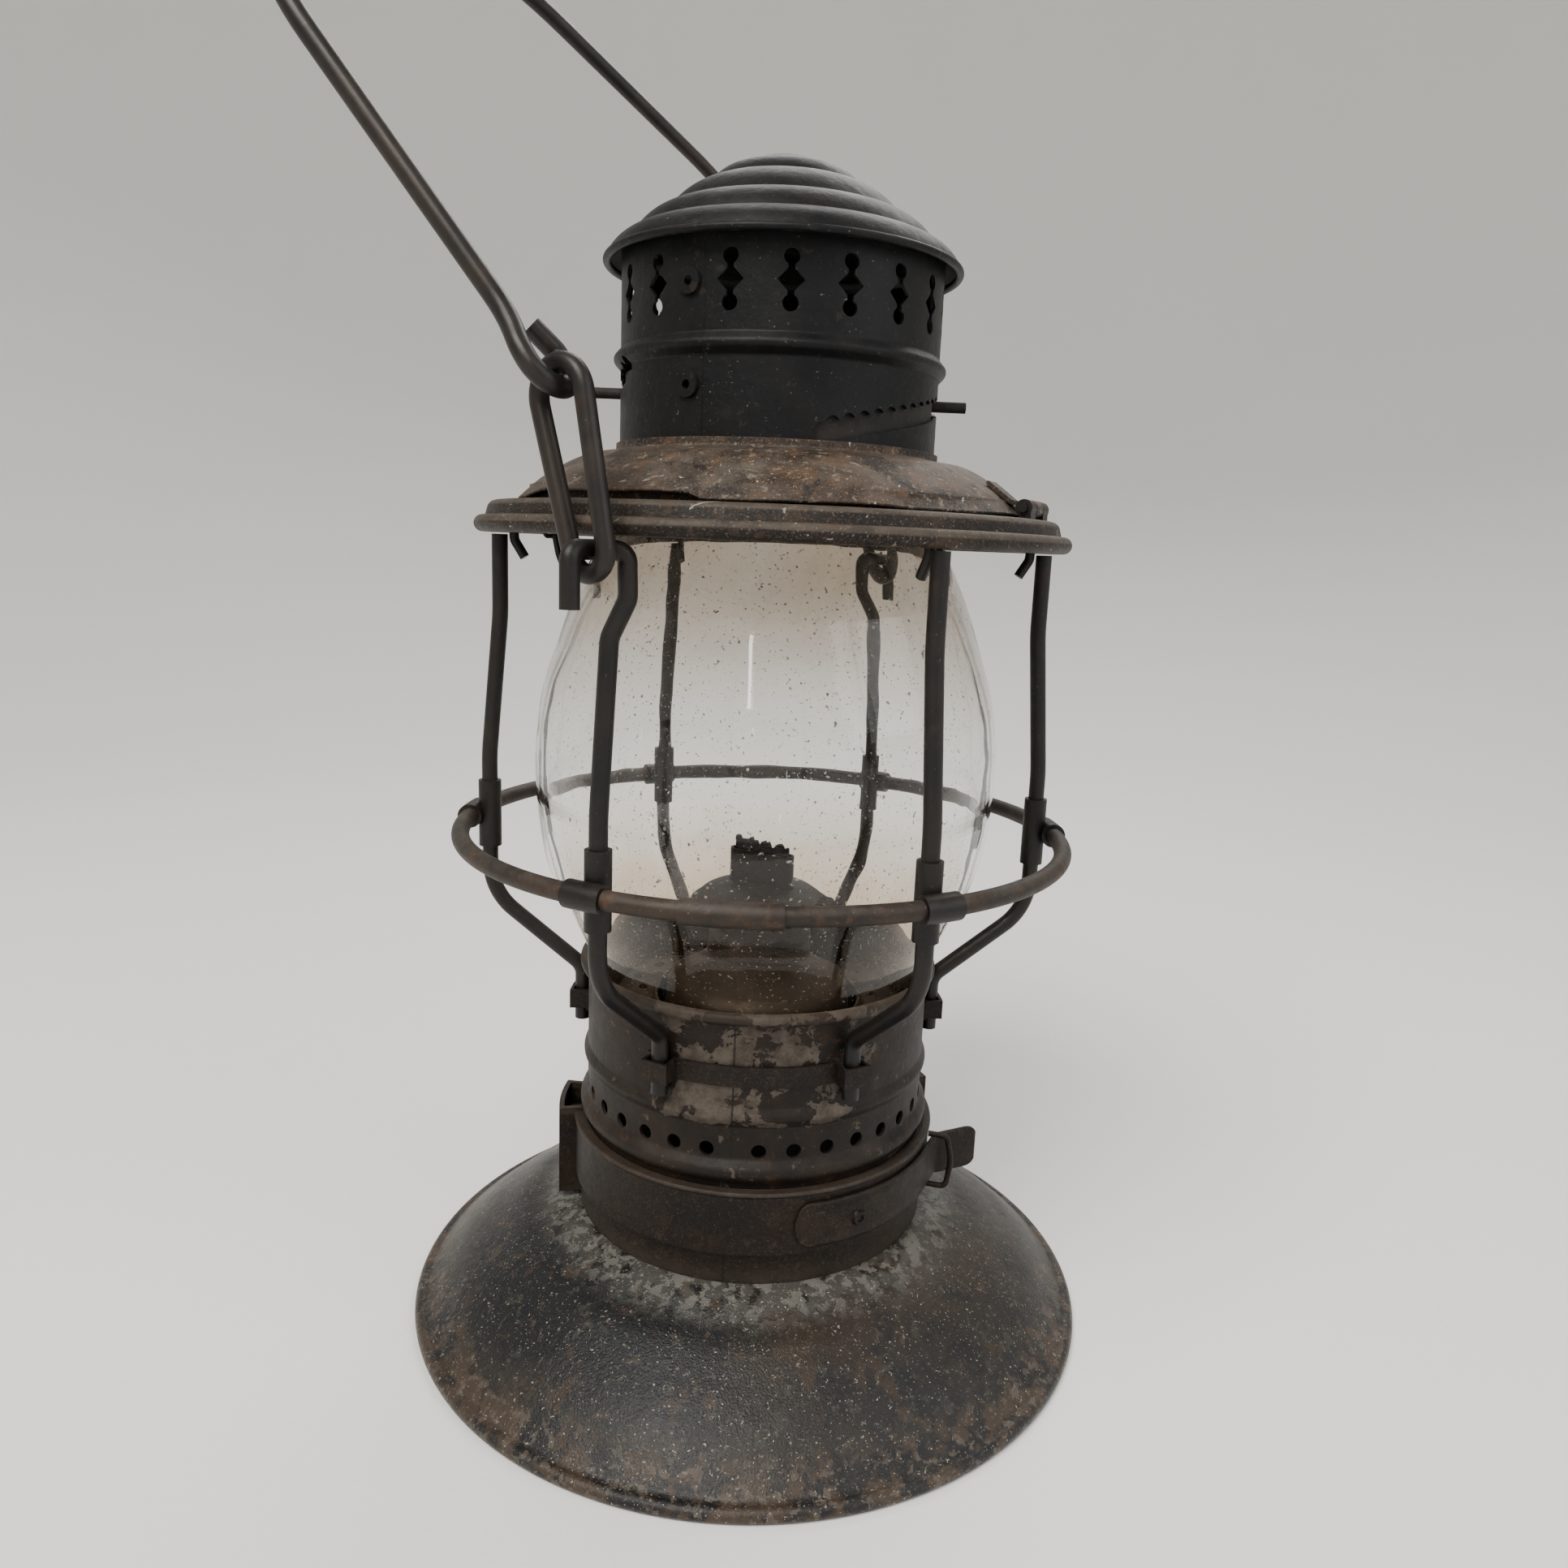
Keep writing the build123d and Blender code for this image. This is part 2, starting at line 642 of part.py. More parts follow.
def chimney_collar():
    middle = CHIMNEY_RADIUS - SHEET / 2
    bead = CHIMNEY_BEAD_HEIGHT
    vents = [VENT_START + VENT_PITCH * k for k in range(VENTS)]
    middle_line = ((middle, CHIMNEY_BOTTOM), (middle, bead - 2.2), (middle + 2.0, bead), (middle, bead + 2.2),
                   (middle, CHIMNEY_TOP))
    with BuildPart() as collar:
        add(turned_sheet(middle_line, (1, 1, 1)))
        with BuildSketch(*[facing(angle, CHIMNEY_RADIUS, VENT_HEIGHT) for angle in vents]):
            Rectangle(4.2, 4.2, rotation=45)
            Rectangle(1.5, 9.2)
            with Locations((0, 4.6), (0, -4.6)):
                Circle(1.7)
        extrude(amount=3, both=True, mode=Mode.SUBTRACT)
        climb = degrees(atan2(CLAMP_RISE, radians(CHIMNEY_RADIUS)))
        for angle in CLAMP_PIN_ANGLES:
            with BuildSketch(*slot_frames(angle, SLOT_STEP)):
                SlotOverall(2 * SLOT_WIDTH, SLOT_WIDTH, rotation=climb)
            extrude(amount=4, mode=Mode.SUBTRACT)
            with BuildSketch(*slot_frames(angle, SCALLOP_PITCH, SLOT_WIDTH / 2 - 0.5)):
                Circle(1.55)
            extrude(amount=4, mode=Mode.SUBTRACT)
        with BuildSketch(*[facing(SEAM_ANGLE, CHIMNEY_RADIUS, height) for height in EYELET_HEIGHTS]):
            Circle(1.4)
        extrude(amount=3, both=True, mode=Mode.SUBTRACT)
    save(collar.part, "chimney_collar")


def collar_eyelet(height):
    outside = facing(SEAM_ANGLE, CHIMNEY_RADIUS + 0.05, height)
    with BuildPart() as eyelet:
        with BuildSketch(outside):
            Circle(2.9)
        extrude(amount=0.8, taper=12)
        with BuildSketch(outside.offset(-0.9)):
            Circle(1.35)
        extrude(amount=1.0)
        with BuildSketch(outside.offset(-3)):
            Circle(0.95)
        extrude(amount=6, mode=Mode.SUBTRACT)
    return eyelet.part


def chimney_cap():
    """Stepped dome: tiers that swell between creases, under a round crown and over a rolled brim."""
    creases = ((42.0, 263.0), (35.5, 268.8), (27.6, 274.5), (18.1, 281.0), (10.4, 285.2))
    crown_radius = 18.5
    crown_base, crown_height = creases[-1]
    centre = crown_height - (crown_radius**2 - crown_base**2) ** 0.5
    spread = degrees(atan2(crown_base, crown_height - centre))
    with BuildPart() as cap:
        with BuildSketch(Plane.XZ):
            for drop, mode in ((0, Mode.ADD), (1.0, Mode.SUBTRACT)):
                with BuildLine():
                    for (outer, low), (inner, high) in zip(creases[:-1], creases[1:]):
                        middle = ((outer + inner) / 2 + 0.5, (low + high) / 2 + 0.9 - drop)
                        ThreePointArc((outer, low - drop), middle, (inner, high - drop))
                    crown = CenterArc((0, centre - drop), crown_radius, 90 - spread, spread)
                    Polyline(crown @ 1, (0, 262.2 - drop), (42.0, 262.2 - drop), (42.0, 263.0 - drop))
                make_face(mode=mode)
            with Locations((41.5, 262.9)):
                Circle(0.9)
        revolve(axis=Axis.Z)
    save(cap.part, "chimney_cap")


# --- globe clamp ----------------------------------------------------------------------------------
def clamp_sleeve():
    outer = CHIMNEY_RADIUS - SHEET - 0.4
    with BuildPart() as sleeve:
        with BuildSketch(Plane.XY.offset(217.1)):
            Circle(outer)
            Circle(outer - SHEET, mode=Mode.SUBTRACT)
        extrude(amount=20.6)
    save(sleeve.part, "clamp_sleeve")


def clamp_pin(angle):
    with BuildPart() as pin:
        with BuildSketch(facing(angle, CHIMNEY_RADIUS - SHEET - 0.4, CLAMP_PIN_HEIGHT)):
            Circle(1.3)
        extrude(amount=8.4)
        with BuildSketch(facing(angle, CHIMNEY_RADIUS - 2 * SHEET - 1.2, CLAMP_PIN_HEIGHT)):
            Circle(2.2)
        extrude(amount=0.6)
    return pin.part


def globe_ring():
    """Loose ring between the sleeve and the globe: it comes down without turning."""
    save(turned_sheet(((31.4, 217.6), (33.4, 215.6), (36.4, 215.6)), 1), "globe_ring")


# --- bail and its links ---------------------------------------------------------------------------
def link(angle, lean_side):
    """Pear-shaped loop on an upright's eye; it leans towards rising azimuth for lean_side 1."""
    out = outward(angle)
    side = outward(angle + 90)
    tilt = radians(LINK_TILT) * lean_side
    up = Vector(0, 0, 1) * cos(tilt) + side * sin(tilt)
    across = side * cos(tilt) - Vector(0, 0, 1) * sin(tilt)
    twist = radians(LINK_TWIST)
    x_dir = across * cos(twist) + out * sin(twist)
    flat = Plane(origin=at(angle, LINK_PLANE, EYE_HEIGHT), x_dir=x_dir, z_dir=x_dir.cross(up))
    slope = (LINK_TOP_RADIUS - LINK_BOTTOM_RADIUS) / LINK_SPACING
    lift = (1 - slope * slope) ** 0.5
    low = (LINK_BOTTOM_RADIUS * lift, -LINK_BOTTOM_RADIUS * slope)
    high = (LINK_TOP_RADIUS * lift, LINK_SPACING - LINK_TOP_RADIUS * slope)
    with BuildPart() as loop:
        with BuildLine(flat) as path:
            Line(low, high)
            ThreePointArc(high, (0, LINK_SPACING + LINK_TOP_RADIUS), (-high[0], high[1]))
            Line((-high[0], high[1]), (-low[0], low[1]))
            ThreePointArc((-low[0], low[1]), (0, -LINK_BOTTOM_RADIUS), low)
        start = path.line.edges()[0]
        with BuildSketch(Plane(origin=start @ 0, z_dir=start % 0)):
            Circle(WIRE / 2)
        sweep(path=path.wires()[0])
    return loop.part


def bail_plane():
    """Plane of the leaning bail: origin midway between the links' tops, X towards the front eye."""
    near = outward(EYE_ANGLES[0])
    lean = outward(EYE_ANGLES[0] - 90)
    hold = LINK_SPACING + LINK_TOP_RADIUS - WIRE / 2 - HEAVY_WIRE / 2 - GAP
    tilt = radians(LINK_TILT)
    origin = lean * (hold * sin(tilt)) + Vector(0, 0, EYE_HEIGHT + hold * cos(tilt))
    up = lean * sin(radians(BAIL_LEAN)) + Vector(0, 0, cos(radians(BAIL_LEAN)))
    return Plane(origin=origin, x_dir=near, z_dir=near.cross(up))


def bail():
    inner = LINK_PLANE - BAIL_EYE_WIDTH / 2
    outer = LINK_PLANE + BAIL_EYE_WIDTH / 2
    half = ((inner + 3.6, 14.6), (inner, 9.0), (inner, 0.0), (outer, 0.0), (outer, 8.0), (outer - 2.0, 16.0),
            (96.0, 100.0))
    crown = (0, 162.0)
    route = [*half, crown, *[(-across, along) for across, along in reversed(half)]]
    bends = [3, 5.6, 5.6, 12, 20, 35]
    save(bent_wire(route, [*bends, 60, *reversed(bends)], HEAVY_WIRE, bail_plane()), "bail")


# --- the assembly ---------------------------------------------------------------------------------
bell_base()
base_collar()
base_band()
latch_foot()
latch_rivet()
latch_leaf()
latch_keeper()
oil_fount()
filler_cap()
burner_body()
burner_gallery()
wick_tube()
wick()
wick_raiser()

air_drum()
globe_seat()
for side, angle in zip(("left", "right"), POCKET_ANGLES):
    save(drum_lug(angle), f"drum_lug_{side}")
for name, first, last in (("front", 0, 1), ("right", 2, 3), ("left", 4, 5)):
    save(drum_strap(WIRE_ANGLES[first], WIRE_ANGLES[last]), f"drum_strap_{name}")
for number, angle in enumerate(WIRE_ANGLES, start=1):
    save(guard_wire(angle), f"guard_wire_{number}")
guard_ring()
save(ring_tube(-4.2, 7.8, 2.75, HEAVY_WIRE / 2 + 0.03), "ring_sleeve")
save(Compound(children=[ring_clip(angle) for angle in WIRE_ANGLES]), "ring_clips")
save(Compound(children=[rim_hook(angle) for angle in WIRE_ANGLES if angle not in EYE_ANGLES]), "rim_hooks")
top_ring()
save(Compound(children=[hinge_knuckle(start) for start in (-7.2, 3.2)]), "rim_knuckles")
hinge_pin()
globe()
lid_catch()
catch_staple()

lid_plate()
lid_hinge_leaf()
chimney_collar()
save(Compound(children=[collar_eyelet(height) for height in EYELET_HEIGHTS]), "collar_eyelets")
chimney_cap()
clamp_sleeve()
save(Compound(children=[clamp_pin(angle) for angle in CLAMP_PIN_ANGLES]), "clamp_pins")
globe_ring()

save(link(EYE_ANGLES[0], -1), "link_near")
save(link(EYE_ANGLES[1], 1), "link_far")
bail()
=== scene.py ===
"""Looks of the railroad hand lantern: aged metals, smoky globe, charred wick and spring latch.

Metres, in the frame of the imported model: +Z up, -Y the front. An azimuth is counted from the front
towards +X, as in the CAD source.
"""

import json
import math

import bmesh
import bpy
from mathutils import Matrix, Vector, noise


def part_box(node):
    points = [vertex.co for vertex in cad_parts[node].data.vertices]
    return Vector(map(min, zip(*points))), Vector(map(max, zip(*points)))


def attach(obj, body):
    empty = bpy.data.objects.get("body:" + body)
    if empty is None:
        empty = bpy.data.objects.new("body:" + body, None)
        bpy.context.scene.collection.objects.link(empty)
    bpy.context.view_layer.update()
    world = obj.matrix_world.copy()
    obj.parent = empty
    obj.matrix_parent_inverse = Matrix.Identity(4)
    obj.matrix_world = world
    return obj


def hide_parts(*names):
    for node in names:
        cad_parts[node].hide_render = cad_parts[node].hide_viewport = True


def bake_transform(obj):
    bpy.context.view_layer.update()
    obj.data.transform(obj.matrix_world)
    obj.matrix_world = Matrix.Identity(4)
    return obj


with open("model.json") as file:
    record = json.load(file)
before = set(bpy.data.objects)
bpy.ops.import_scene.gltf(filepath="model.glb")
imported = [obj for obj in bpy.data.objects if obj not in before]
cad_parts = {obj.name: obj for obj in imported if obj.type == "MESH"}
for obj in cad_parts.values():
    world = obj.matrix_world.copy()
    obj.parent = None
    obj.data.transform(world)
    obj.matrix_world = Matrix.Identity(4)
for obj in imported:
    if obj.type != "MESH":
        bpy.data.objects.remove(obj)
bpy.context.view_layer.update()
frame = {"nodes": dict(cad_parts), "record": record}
nodes = frame["nodes"]


# --- shader building ------------------------------------------------------------
class Look:
    """A material whose nodes are made one call at a time.

    Every pattern lies in the object's own metres. colour is the running base colour, and layers are
    the heights that bumps() turns into the shader's normal.
    """

    def __init__(self, name):
        self.material = bpy.data.materials.new(name)
        self.material.use_nodes = True
        self.tree = self.material.node_tree
        self.tree.nodes.clear()
        self.shader = self.node("ShaderNodeBsdfPrincipled")
        self.output = self.node("ShaderNodeOutputMaterial")
        self.link(self.shader.outputs[0], self.output.inputs[0])
        self.place = self.node("ShaderNodeTexCoord").outputs["Object"]
        split = self.node("ShaderNodeSeparateXYZ")
        self.link(self.place, split.inputs[0])
        self.x, self.y, self.z = split.outputs

    def node(self, kind, **settings):
        made = self.tree.nodes.new(kind)
        for key, value in settings.items():
            setattr(made, key, value)
        return made

    def link(self, source, socket):
        self.tree.links.new(source, socket)

    def feed(self, socket, value):
        """A socket takes another socket's value, or a plain number or colour."""
        if isinstance(value, bpy.types.NodeSocket):
            self.link(value, socket)
        elif isinstance(value, tuple) and len(value) == 3 and socket.type == "RGBA":
            socket.default_value = (*value, 1.0)
        else:
            socket.default_value = value

    def math(self, operation, a, b=0.0, clamp=False):
        made = self.node("ShaderNodeMath", operation=operation, use_clamp=clamp)
        self.feed(made.inputs[0], a)
        self.feed(made.inputs[1], b)
        return made.outputs[0]

    def stretched(self, factors):
        """The place, scaled along each axis, so that a pattern grows longer or shorter that way."""
        made = self.node("ShaderNodeVectorMath", operation="MULTIPLY")
        self.link(self.place, made.inputs[0])
        made.inputs[1].default_value = factors
        return made.outputs[0]

    def noise(self, scale, detail=4.0, roughness=0.6, distortion=0.0, along=None):
        made = self.node("ShaderNodeTexNoise")
        self.link(along or self.place, made.inputs["Vector"])
        made.inputs["Scale"].default_value = scale
        made.inputs["Detail"].default_value = detail
        made.inputs["Roughness"].default_value = roughness
        made.inputs["Distortion"].default_value = distortion
        return made.outputs[0]

    def ease(self, value, low, high):
        """0 below low and 1 above high, eased between; high may be the lower one."""
        made = self.node("ShaderNodeMapRange", interpolation_type="SMOOTHSTEP")
        self.feed(made.inputs["Value"], value)
        if low < high:
            made.inputs["From Min"].default_value = low
            made.inputs["From Max"].default_value = high
        else:
            made.inputs["From Min"].default_value = high
            made.inputs["From Max"].default_value = low
            made.inputs["To Min"].default_value = 1.0
            made.inputs["To Max"].default_value = 0.0
        return made.outputs["Result"]

    def span(self, value, low, high):
        """A number between low and high as value goes from 0 to 1."""
        made = self.node("ShaderNodeMapRange")
        self.feed(made.inputs["Value"], value)
        made.inputs["To Min"].default_value = low
        made.inputs["To Max"].default_value = high
        return made.outputs["Result"]

    def band(self, value, low, high, soft):
        """1 between low and high, falling to 0 over soft outside them."""
        rising = self.ease(value, low - soft, low)
        return self.math("MULTIPLY", rising, self.ease(value, high + soft, high))

    def times(self, first, *others):
        """Product of the values."""
        for other in others:
            first = self.math("MULTIPLY", first, other)
        return first

    def mixed(self, share, first, second):
        """The first colour at share 0 and the second at 1."""
        made = self.node("ShaderNodeMix", data_type="RGBA")
        self.feed(made.inputs[0], share)
        self.feed(made.inputs[6], first)
        self.feed(made.inputs[7], second)
        return made.outputs[2]

    def azimuth(self):
        """Degrees from the front towards +X."""
        front = self.math("MULTIPLY", self.y, -1.0)
        return self.math("MULTIPLY", self.math("ARCTAN2", self.x, front), 180 / math.pi)

    def radius(self):
        """Distance from the axis."""
        across = self.math("MULTIPLY", self.x, self.x)
        ahead = self.math("MULTIPLY", self.y, self.y)
        return self.math("SQRT", self.math("ADD", across, ahead))

    def upward(self):
        """1 on surfaces that face up, 0 on walls and undersides."""
        normal = self.node("ShaderNodeNewGeometry").outputs["Normal"]
        split = self.node("ShaderNodeSeparateXYZ")
        self.link(normal, split.inputs[0])
        return self.ease(split.outputs[2], 0.1, 0.85)

    def flecked(self, scale, cut, amount, colour, where=1.0, detail=6, soft=0.022):
        """Crisp-edged flecks of a colour, fewer as cut rises; where limits them to some parts."""
        fleck = self.ease(self.noise(scale, detail, 0.64, 0.2), cut, cut + soft)
        self.tinted(self.times(fleck, where, amount), colour)

    def peppered(self, amount, brown, pale):
        """Dense fine speckle: brown grains, and fewer pale ones in clusters."""
        where = self.span(self.noise(55, 6, 0.7), 0.0, 1.6)
        brown_grain = self.ease(self.noise(1500, 3, 0.6), 0.52, 0.62)
        self.tinted(self.times(brown_grain, where, amount), brown)
        pale_grain = self.ease(self.noise(2100, 2, 0.5), 0.62, 0.69)
        self.tinted(self.times(pale_grain, where, amount), pale)

    def linted(self, amount, pale):
        """Short pale fibres and crumbs that lie every way."""
        for turn in ((2.6, 0.5, 1.0), (0.5, 2.6, 1.0), (1.3, 1.5, 2.4)):
            fibre = self.ease(self.noise(360, 2, 0.5, 0.8, self.stretched(turn)), 0.735, 0.76)
            self.tinted(self.times(fibre, amount), pale)

    def tinted(self, share, colour):
        """Lays a colour over the running one, by a share."""
        self.colour = self.mixed(share, self.colour, colour)

    def bumps(self):
        """Each layer is a height and its depth in metres; they add up on the shader's normal."""
        normal = None
        for height, depth in self.layers:
            made = self.node("ShaderNodeBump")
            made.inputs["Strength"].default_value = 1.0
            made.inputs["Distance"].default_value = depth
            self.feed(made.inputs["Height"], height)
            if normal is not None:
                self.link(normal, made.inputs["Normal"])
            normal = made.outputs[0]
        self.link(normal, self.shader.inputs["Normal"])


def aged_metal(name, paint, mottle, rust, dust, rusty, dusty, gloss, grain=1.0, metal=0.0):
    """Old japanned or oxidised metal: mottled paint, rust blooms, settled dust, specks and pits.

    rusty and dusty are shares, gloss is the roughness from smoothest to roughest, and grain scales
    the depth of the surface's unevenness.
    """
    look = Look(name)
    cloud = look.noise(46, 9, 0.70, 0.5)
    streak = look.noise(150, 7, 0.70, 0.3)
    look.colour = look.mixed(look.ease(cloud, 0.38, 0.62), paint, mottle)
    bloom = look.noise(105, 9, 0.74, 0.6)
    bloomed = look.ease(bloom, 0.64 - 0.13 * rusty, 0.72 - 0.1 * rusty)
    rust_share = look.times(bloomed, look.span(streak, 0.2, 1.0))
    look.tinted(look.times(rust_share, 0.8), rust)
    fleck = look.noise(700, 4, 0.65)
    look.tinted(look.times(look.ease(fleck, 0.60, 0.72), 0.5 * rusty + 0.1), rust)
    settled = look.ease(look.noise(75, 8, 0.75, 0.4), 0.36, 0.7)
    film = look.times(look.upward(), settled, 0.42 * dusty)
    look.tinted(film, dust)
    speck = look.ease(look.noise(1250, 2, 0.5), 0.70, 0.75)
    look.tinted(look.times(speck, 0.75 * dusty), dust)
    rough = look.span(look.noise(260, 5, 0.65), *gloss)
    dulled = look.math("MULTIPLY", look.math("ADD", film, rust_share), 0.2)
    look.feed(look.shader.inputs["Roughness"], look.math("ADD", rough, dulled, clamp=True))
    look.shader.inputs["Metallic"].default_value = metal
    look.shader.inputs["Specular IOR Level"].default_value = 0.28
    look.layers = ((fleck, 0.00007 * grain), (bloom, 0.00025 * grain), (cloud, 0.0005 * grain))
    return look


def finished(look):
    """Gives the shader the look's colour and bumps, and returns the material."""
    look.bumps()
    look.feed(look.shader.inputs["Base Color"], look.colour)
    return look.material


DUST = (0.125, 0.110, 0.094)
RUST = (0.060, 0.029, 0.015)

# heights where a finish changes, in metres
BAND_FOOT, BAND_SEAM_TOP, BAND_TOP = 0.0275, 0.0350, 0.0530
DRUM_SEAM_FOOT, FLAKES_FROM, DRUM_LIP = 0.0575, 0.0655, 0.0915
FOUNT_SMOKED = 0.094
BURNER_CHARRED = 0.1145
WICK_CHARRED = 0.1165
GLASS_MIDDLE = 0.150
CHIMNEY_EAVES, CHIMNEY_CROWN = 0.262, 0.286

# azimuths of the vertical seams, in degrees
BAND_SEAM = (-7.4, -6.9)
DRUM_SEAM = (-6.3, -5.9)
CHIMNEY_SEAM = (-25.8, -25.3)


def bell_look():
    """Blue-grey over brown, with a pale crust where the collar meets the bell, a dusty rim, and
    sparse bright flecks that are painted glints.
    """
    look = aged_metal("bell_finish", (0.0056, 0.0058, 0.0068), (0.0120, 0.0100, 0.0085), RUST, DUST,
                      0.30, 0.12, (0.28, 0.50))
    out = look.radius()
    turn = look.azimuth()
    patch = look.ease(look.noise(74, 8, 0.72, 0.5), 0.36, 0.52)
    left = look.times(look.band(turn, -75, -18, 22), look.ease(out, 0.0800, 0.0700), patch, 0.8)
    look.tinted(left, (0.0038, 0.0044, 0.0056))
    right = look.times(look.band(turn, 12, 75, 20), look.ease(out, 0.0740, 0.0620), patch, 0.7)
    look.tinted(right, (0.0250, 0.0160, 0.0100))
    look.flecked(120, 0.575, 0.75, (0.030, 0.0195, 0.0120))
    look.flecked(210, 0.600, 0.70, (0.0260, 0.0260, 0.0205))
    look.flecked(400, 0.615, 0.70, (0.0460, 0.0365, 0.0280))
    crust = look.ease(out, 0.0600, 0.0475)
    look.flecked(150, 0.400, 0.62, (0.0700, 0.0680, 0.0590), crust, 9, 0.09)
    look.flecked(330, 0.520, 0.70, (0.1350, 0.1290, 0.1120), crust)
    rim = look.ease(out, 0.0770, 0.0855)
    look.flecked(130, 0.480, 0.70, (0.0480, 0.0320, 0.0205), rim, 8, 0.05)
    look.flecked(380, 0.560, 0.60, (0.0850, 0.0680, 0.0520), rim)
    look.flecked(850, 0.640, 0.80, (0.1300, 0.1130, 0.0940))
    # Painted highlight: sparse near-white flecks stand for specular glints on the grainy surface.
    look.flecked(1500, 0.675, 0.90, (0.3000, 0.2800, 0.2450), detail=2)
    look.linted(0.25, (0.22, 0.20, 0.165))
    look.layers = ((look.noise(1900, 3, 0.6), 0.00016), (look.noise(700, 4, 0.65), 0.00010),
                   (look.noise(210, 6, 0.64, 0.2), 0.00018), (look.noise(46, 9, 0.70, 0.5), 0.0004))
    return finished(look)


def band_look():
    """Dark brown band; its top edge is lighter."""
    look = aged_metal("band_finish", (0.0040, 0.0028, 0.0021), (0.0092, 0.0056, 0.0037), RUST, DUST,
                      0.35, 0.3, (0.42, 0.66))
    look.shader.inputs["Specular IOR Level"].default_value = 0.2
    look.flecked(95, 0.560, 0.60, (0.0150, 0.0085, 0.0048))
    look.flecked(300, 0.620, 0.55, (0.0300, 0.0215, 0.0150))
    # Lighter along the top edge.
    edge = look.times(look.band(look.z, BAND_TOP - 0.0022, BAND_TOP, 0.0004),
                      look.span(look.noise(300, 6, 0.7), -0.1, 1.0))
    look.tinted(look.times(edge, 0.7), (0.060, 0.045, 0.033))
    foot = look.times(look.ease(look.z, BAND_FOOT + 0.005, BAND_FOOT),
                      look.span(look.noise(210, 6, 0.7), 0.0, 1.0))
    look.tinted(look.times(foot, 0.5), (0.058, 0.047, 0.037))
    turn = look.azimuth()
    seam = look.times(look.band(turn, *BAND_SEAM, 0.25),
                      look.ease(look.z, BAND_SEAM_TOP + 0.0005, BAND_SEAM_TOP))
    look.tinted(look.times(seam, 0.85), (0.003, 0.003, 0.003))
    look.peppered(0.35, (0.036, 0.021, 0.013), (0.085, 0.068, 0.053))
    return finished(look)


def drum_look():
    """Dark brown drum that has shed its pale undercoat in large flakes across the front."""
    look = aged_metal("drum_finish", (0.0060, 0.0041, 0.0030), (0.0135, 0.0084, 0.0054), RUST, DUST,
                      0.5, 0.35, (0.42, 0.66))
    look.shader.inputs["Specular IOR Level"].default_value = 0.2
    turn = look.azimuth()
    front = look.times(look.band(turn, -24, 30, 14), look.ease(look.z, FLAKES_FROM, 0.0675))
    ragged = look.noise(82, 9, 0.66, 0.4)
    cover = look.math("ADD", ragged, look.math("MULTIPLY", front, 0.13))
    flake = look.times(look.ease(cover, 0.612, 0.622), look.ease(front, 0.02, 0.3))
    stain = look.mixed(look.ease(look.noise(260, 7, 0.7), 0.35, 0.68),
                       (0.078, 0.064, 0.051), (0.034, 0.025, 0.018))
    look.tinted(look.times(flake, 0.9), stain)
    far = look.times(look.ease(look.noise(150, 8, 0.7, 0.4), 0.64, 0.665), 0.6)
    look.tinted(far, (0.046, 0.037, 0.029))
    look.flecked(420, 0.640, 0.70, (0.0700, 0.0560, 0.0430))
    seam = look.times(look.band(turn, *DRUM_SEAM, 0.2),
                      look.ease(look.z, DRUM_SEAM_FOOT, DRUM_SEAM_FOOT + 0.001))
    look.tinted(look.times(seam, 0.8), (0.004, 0.003, 0.003))
    lip = look.times(look.ease(look.z, DRUM_LIP, DRUM_LIP + 0.002),
                     look.span(look.noise(260, 6, 0.7), -0.1, 0.8))
    look.tinted(lip, (0.040, 0.028, 0.019))
    look.layers = ((look.noise(700, 4, 0.65), 0.00007), (flake, 0.00015),
                   (look.noise(46, 9, 0.70, 0.5), 0.0005))
    return finished(look)


def chimney_look():
    """Near-black japanning with a blue cast, dust specks and a rubbed crown."""
    look = aged_metal("chimney_finish", (0.0022, 0.0024, 0.0030), (0.0050, 0.0048, 0.0050),
                      (0.017, 0.0112, 0.008), (0.15, 0.135, 0.12), 0.3, 0.15, (0.36, 0.56), 0.8)
    look.shader.inputs["Specular IOR Level"].default_value = 0.16
    scuff = look.times(look.ease(look.z, CHIMNEY_EAVES, CHIMNEY_EAVES + 0.006),
                       look.ease(look.noise(150, 9, 0.75, 0.5), 0.46, 0.66))
    look.tinted(look.times(scuff, 0.4), (0.0170, 0.0140, 0.0115))
    turn = look.azimuth()
    seam = look.times(look.band(turn, *CHIMNEY_SEAM, 0.25),
                      look.ease(look.z, CHIMNEY_EAVES, CHIMNEY_EAVES - 0.0005))
    look.tinted(look.times(seam, 0.8), (0.001, 0.001, 0.001))
    look.flecked(300, 0.635, 0.60, (0.0200, 0.0150, 0.0115))
    look.flecked(1300, 0.705, 0.60, (0.1400, 0.1250, 0.1080), detail=2)
    chip_x, chip_y = 0.0014, -0.0042
    away = look.math("ADD", look.math("POWER", look.math("SUBTRACT", look.x, chip_x), 2.0),
                     look.math("POWER", look.math("ADD", look.y, -chip_y), 2.0))
    wear_and_highlight = look.ease(look.math("SQRT", away), 0.0013, 0.0007)
    wear_and_highlight = look.times(wear_and_highlight, look.ease(look.z, CHIMNEY_CROWN, CHIMNEY_CROWN + 0.001))
    look.tinted(wear_and_highlight, (0.42, 0.24, 0.13))
    return finished(look)


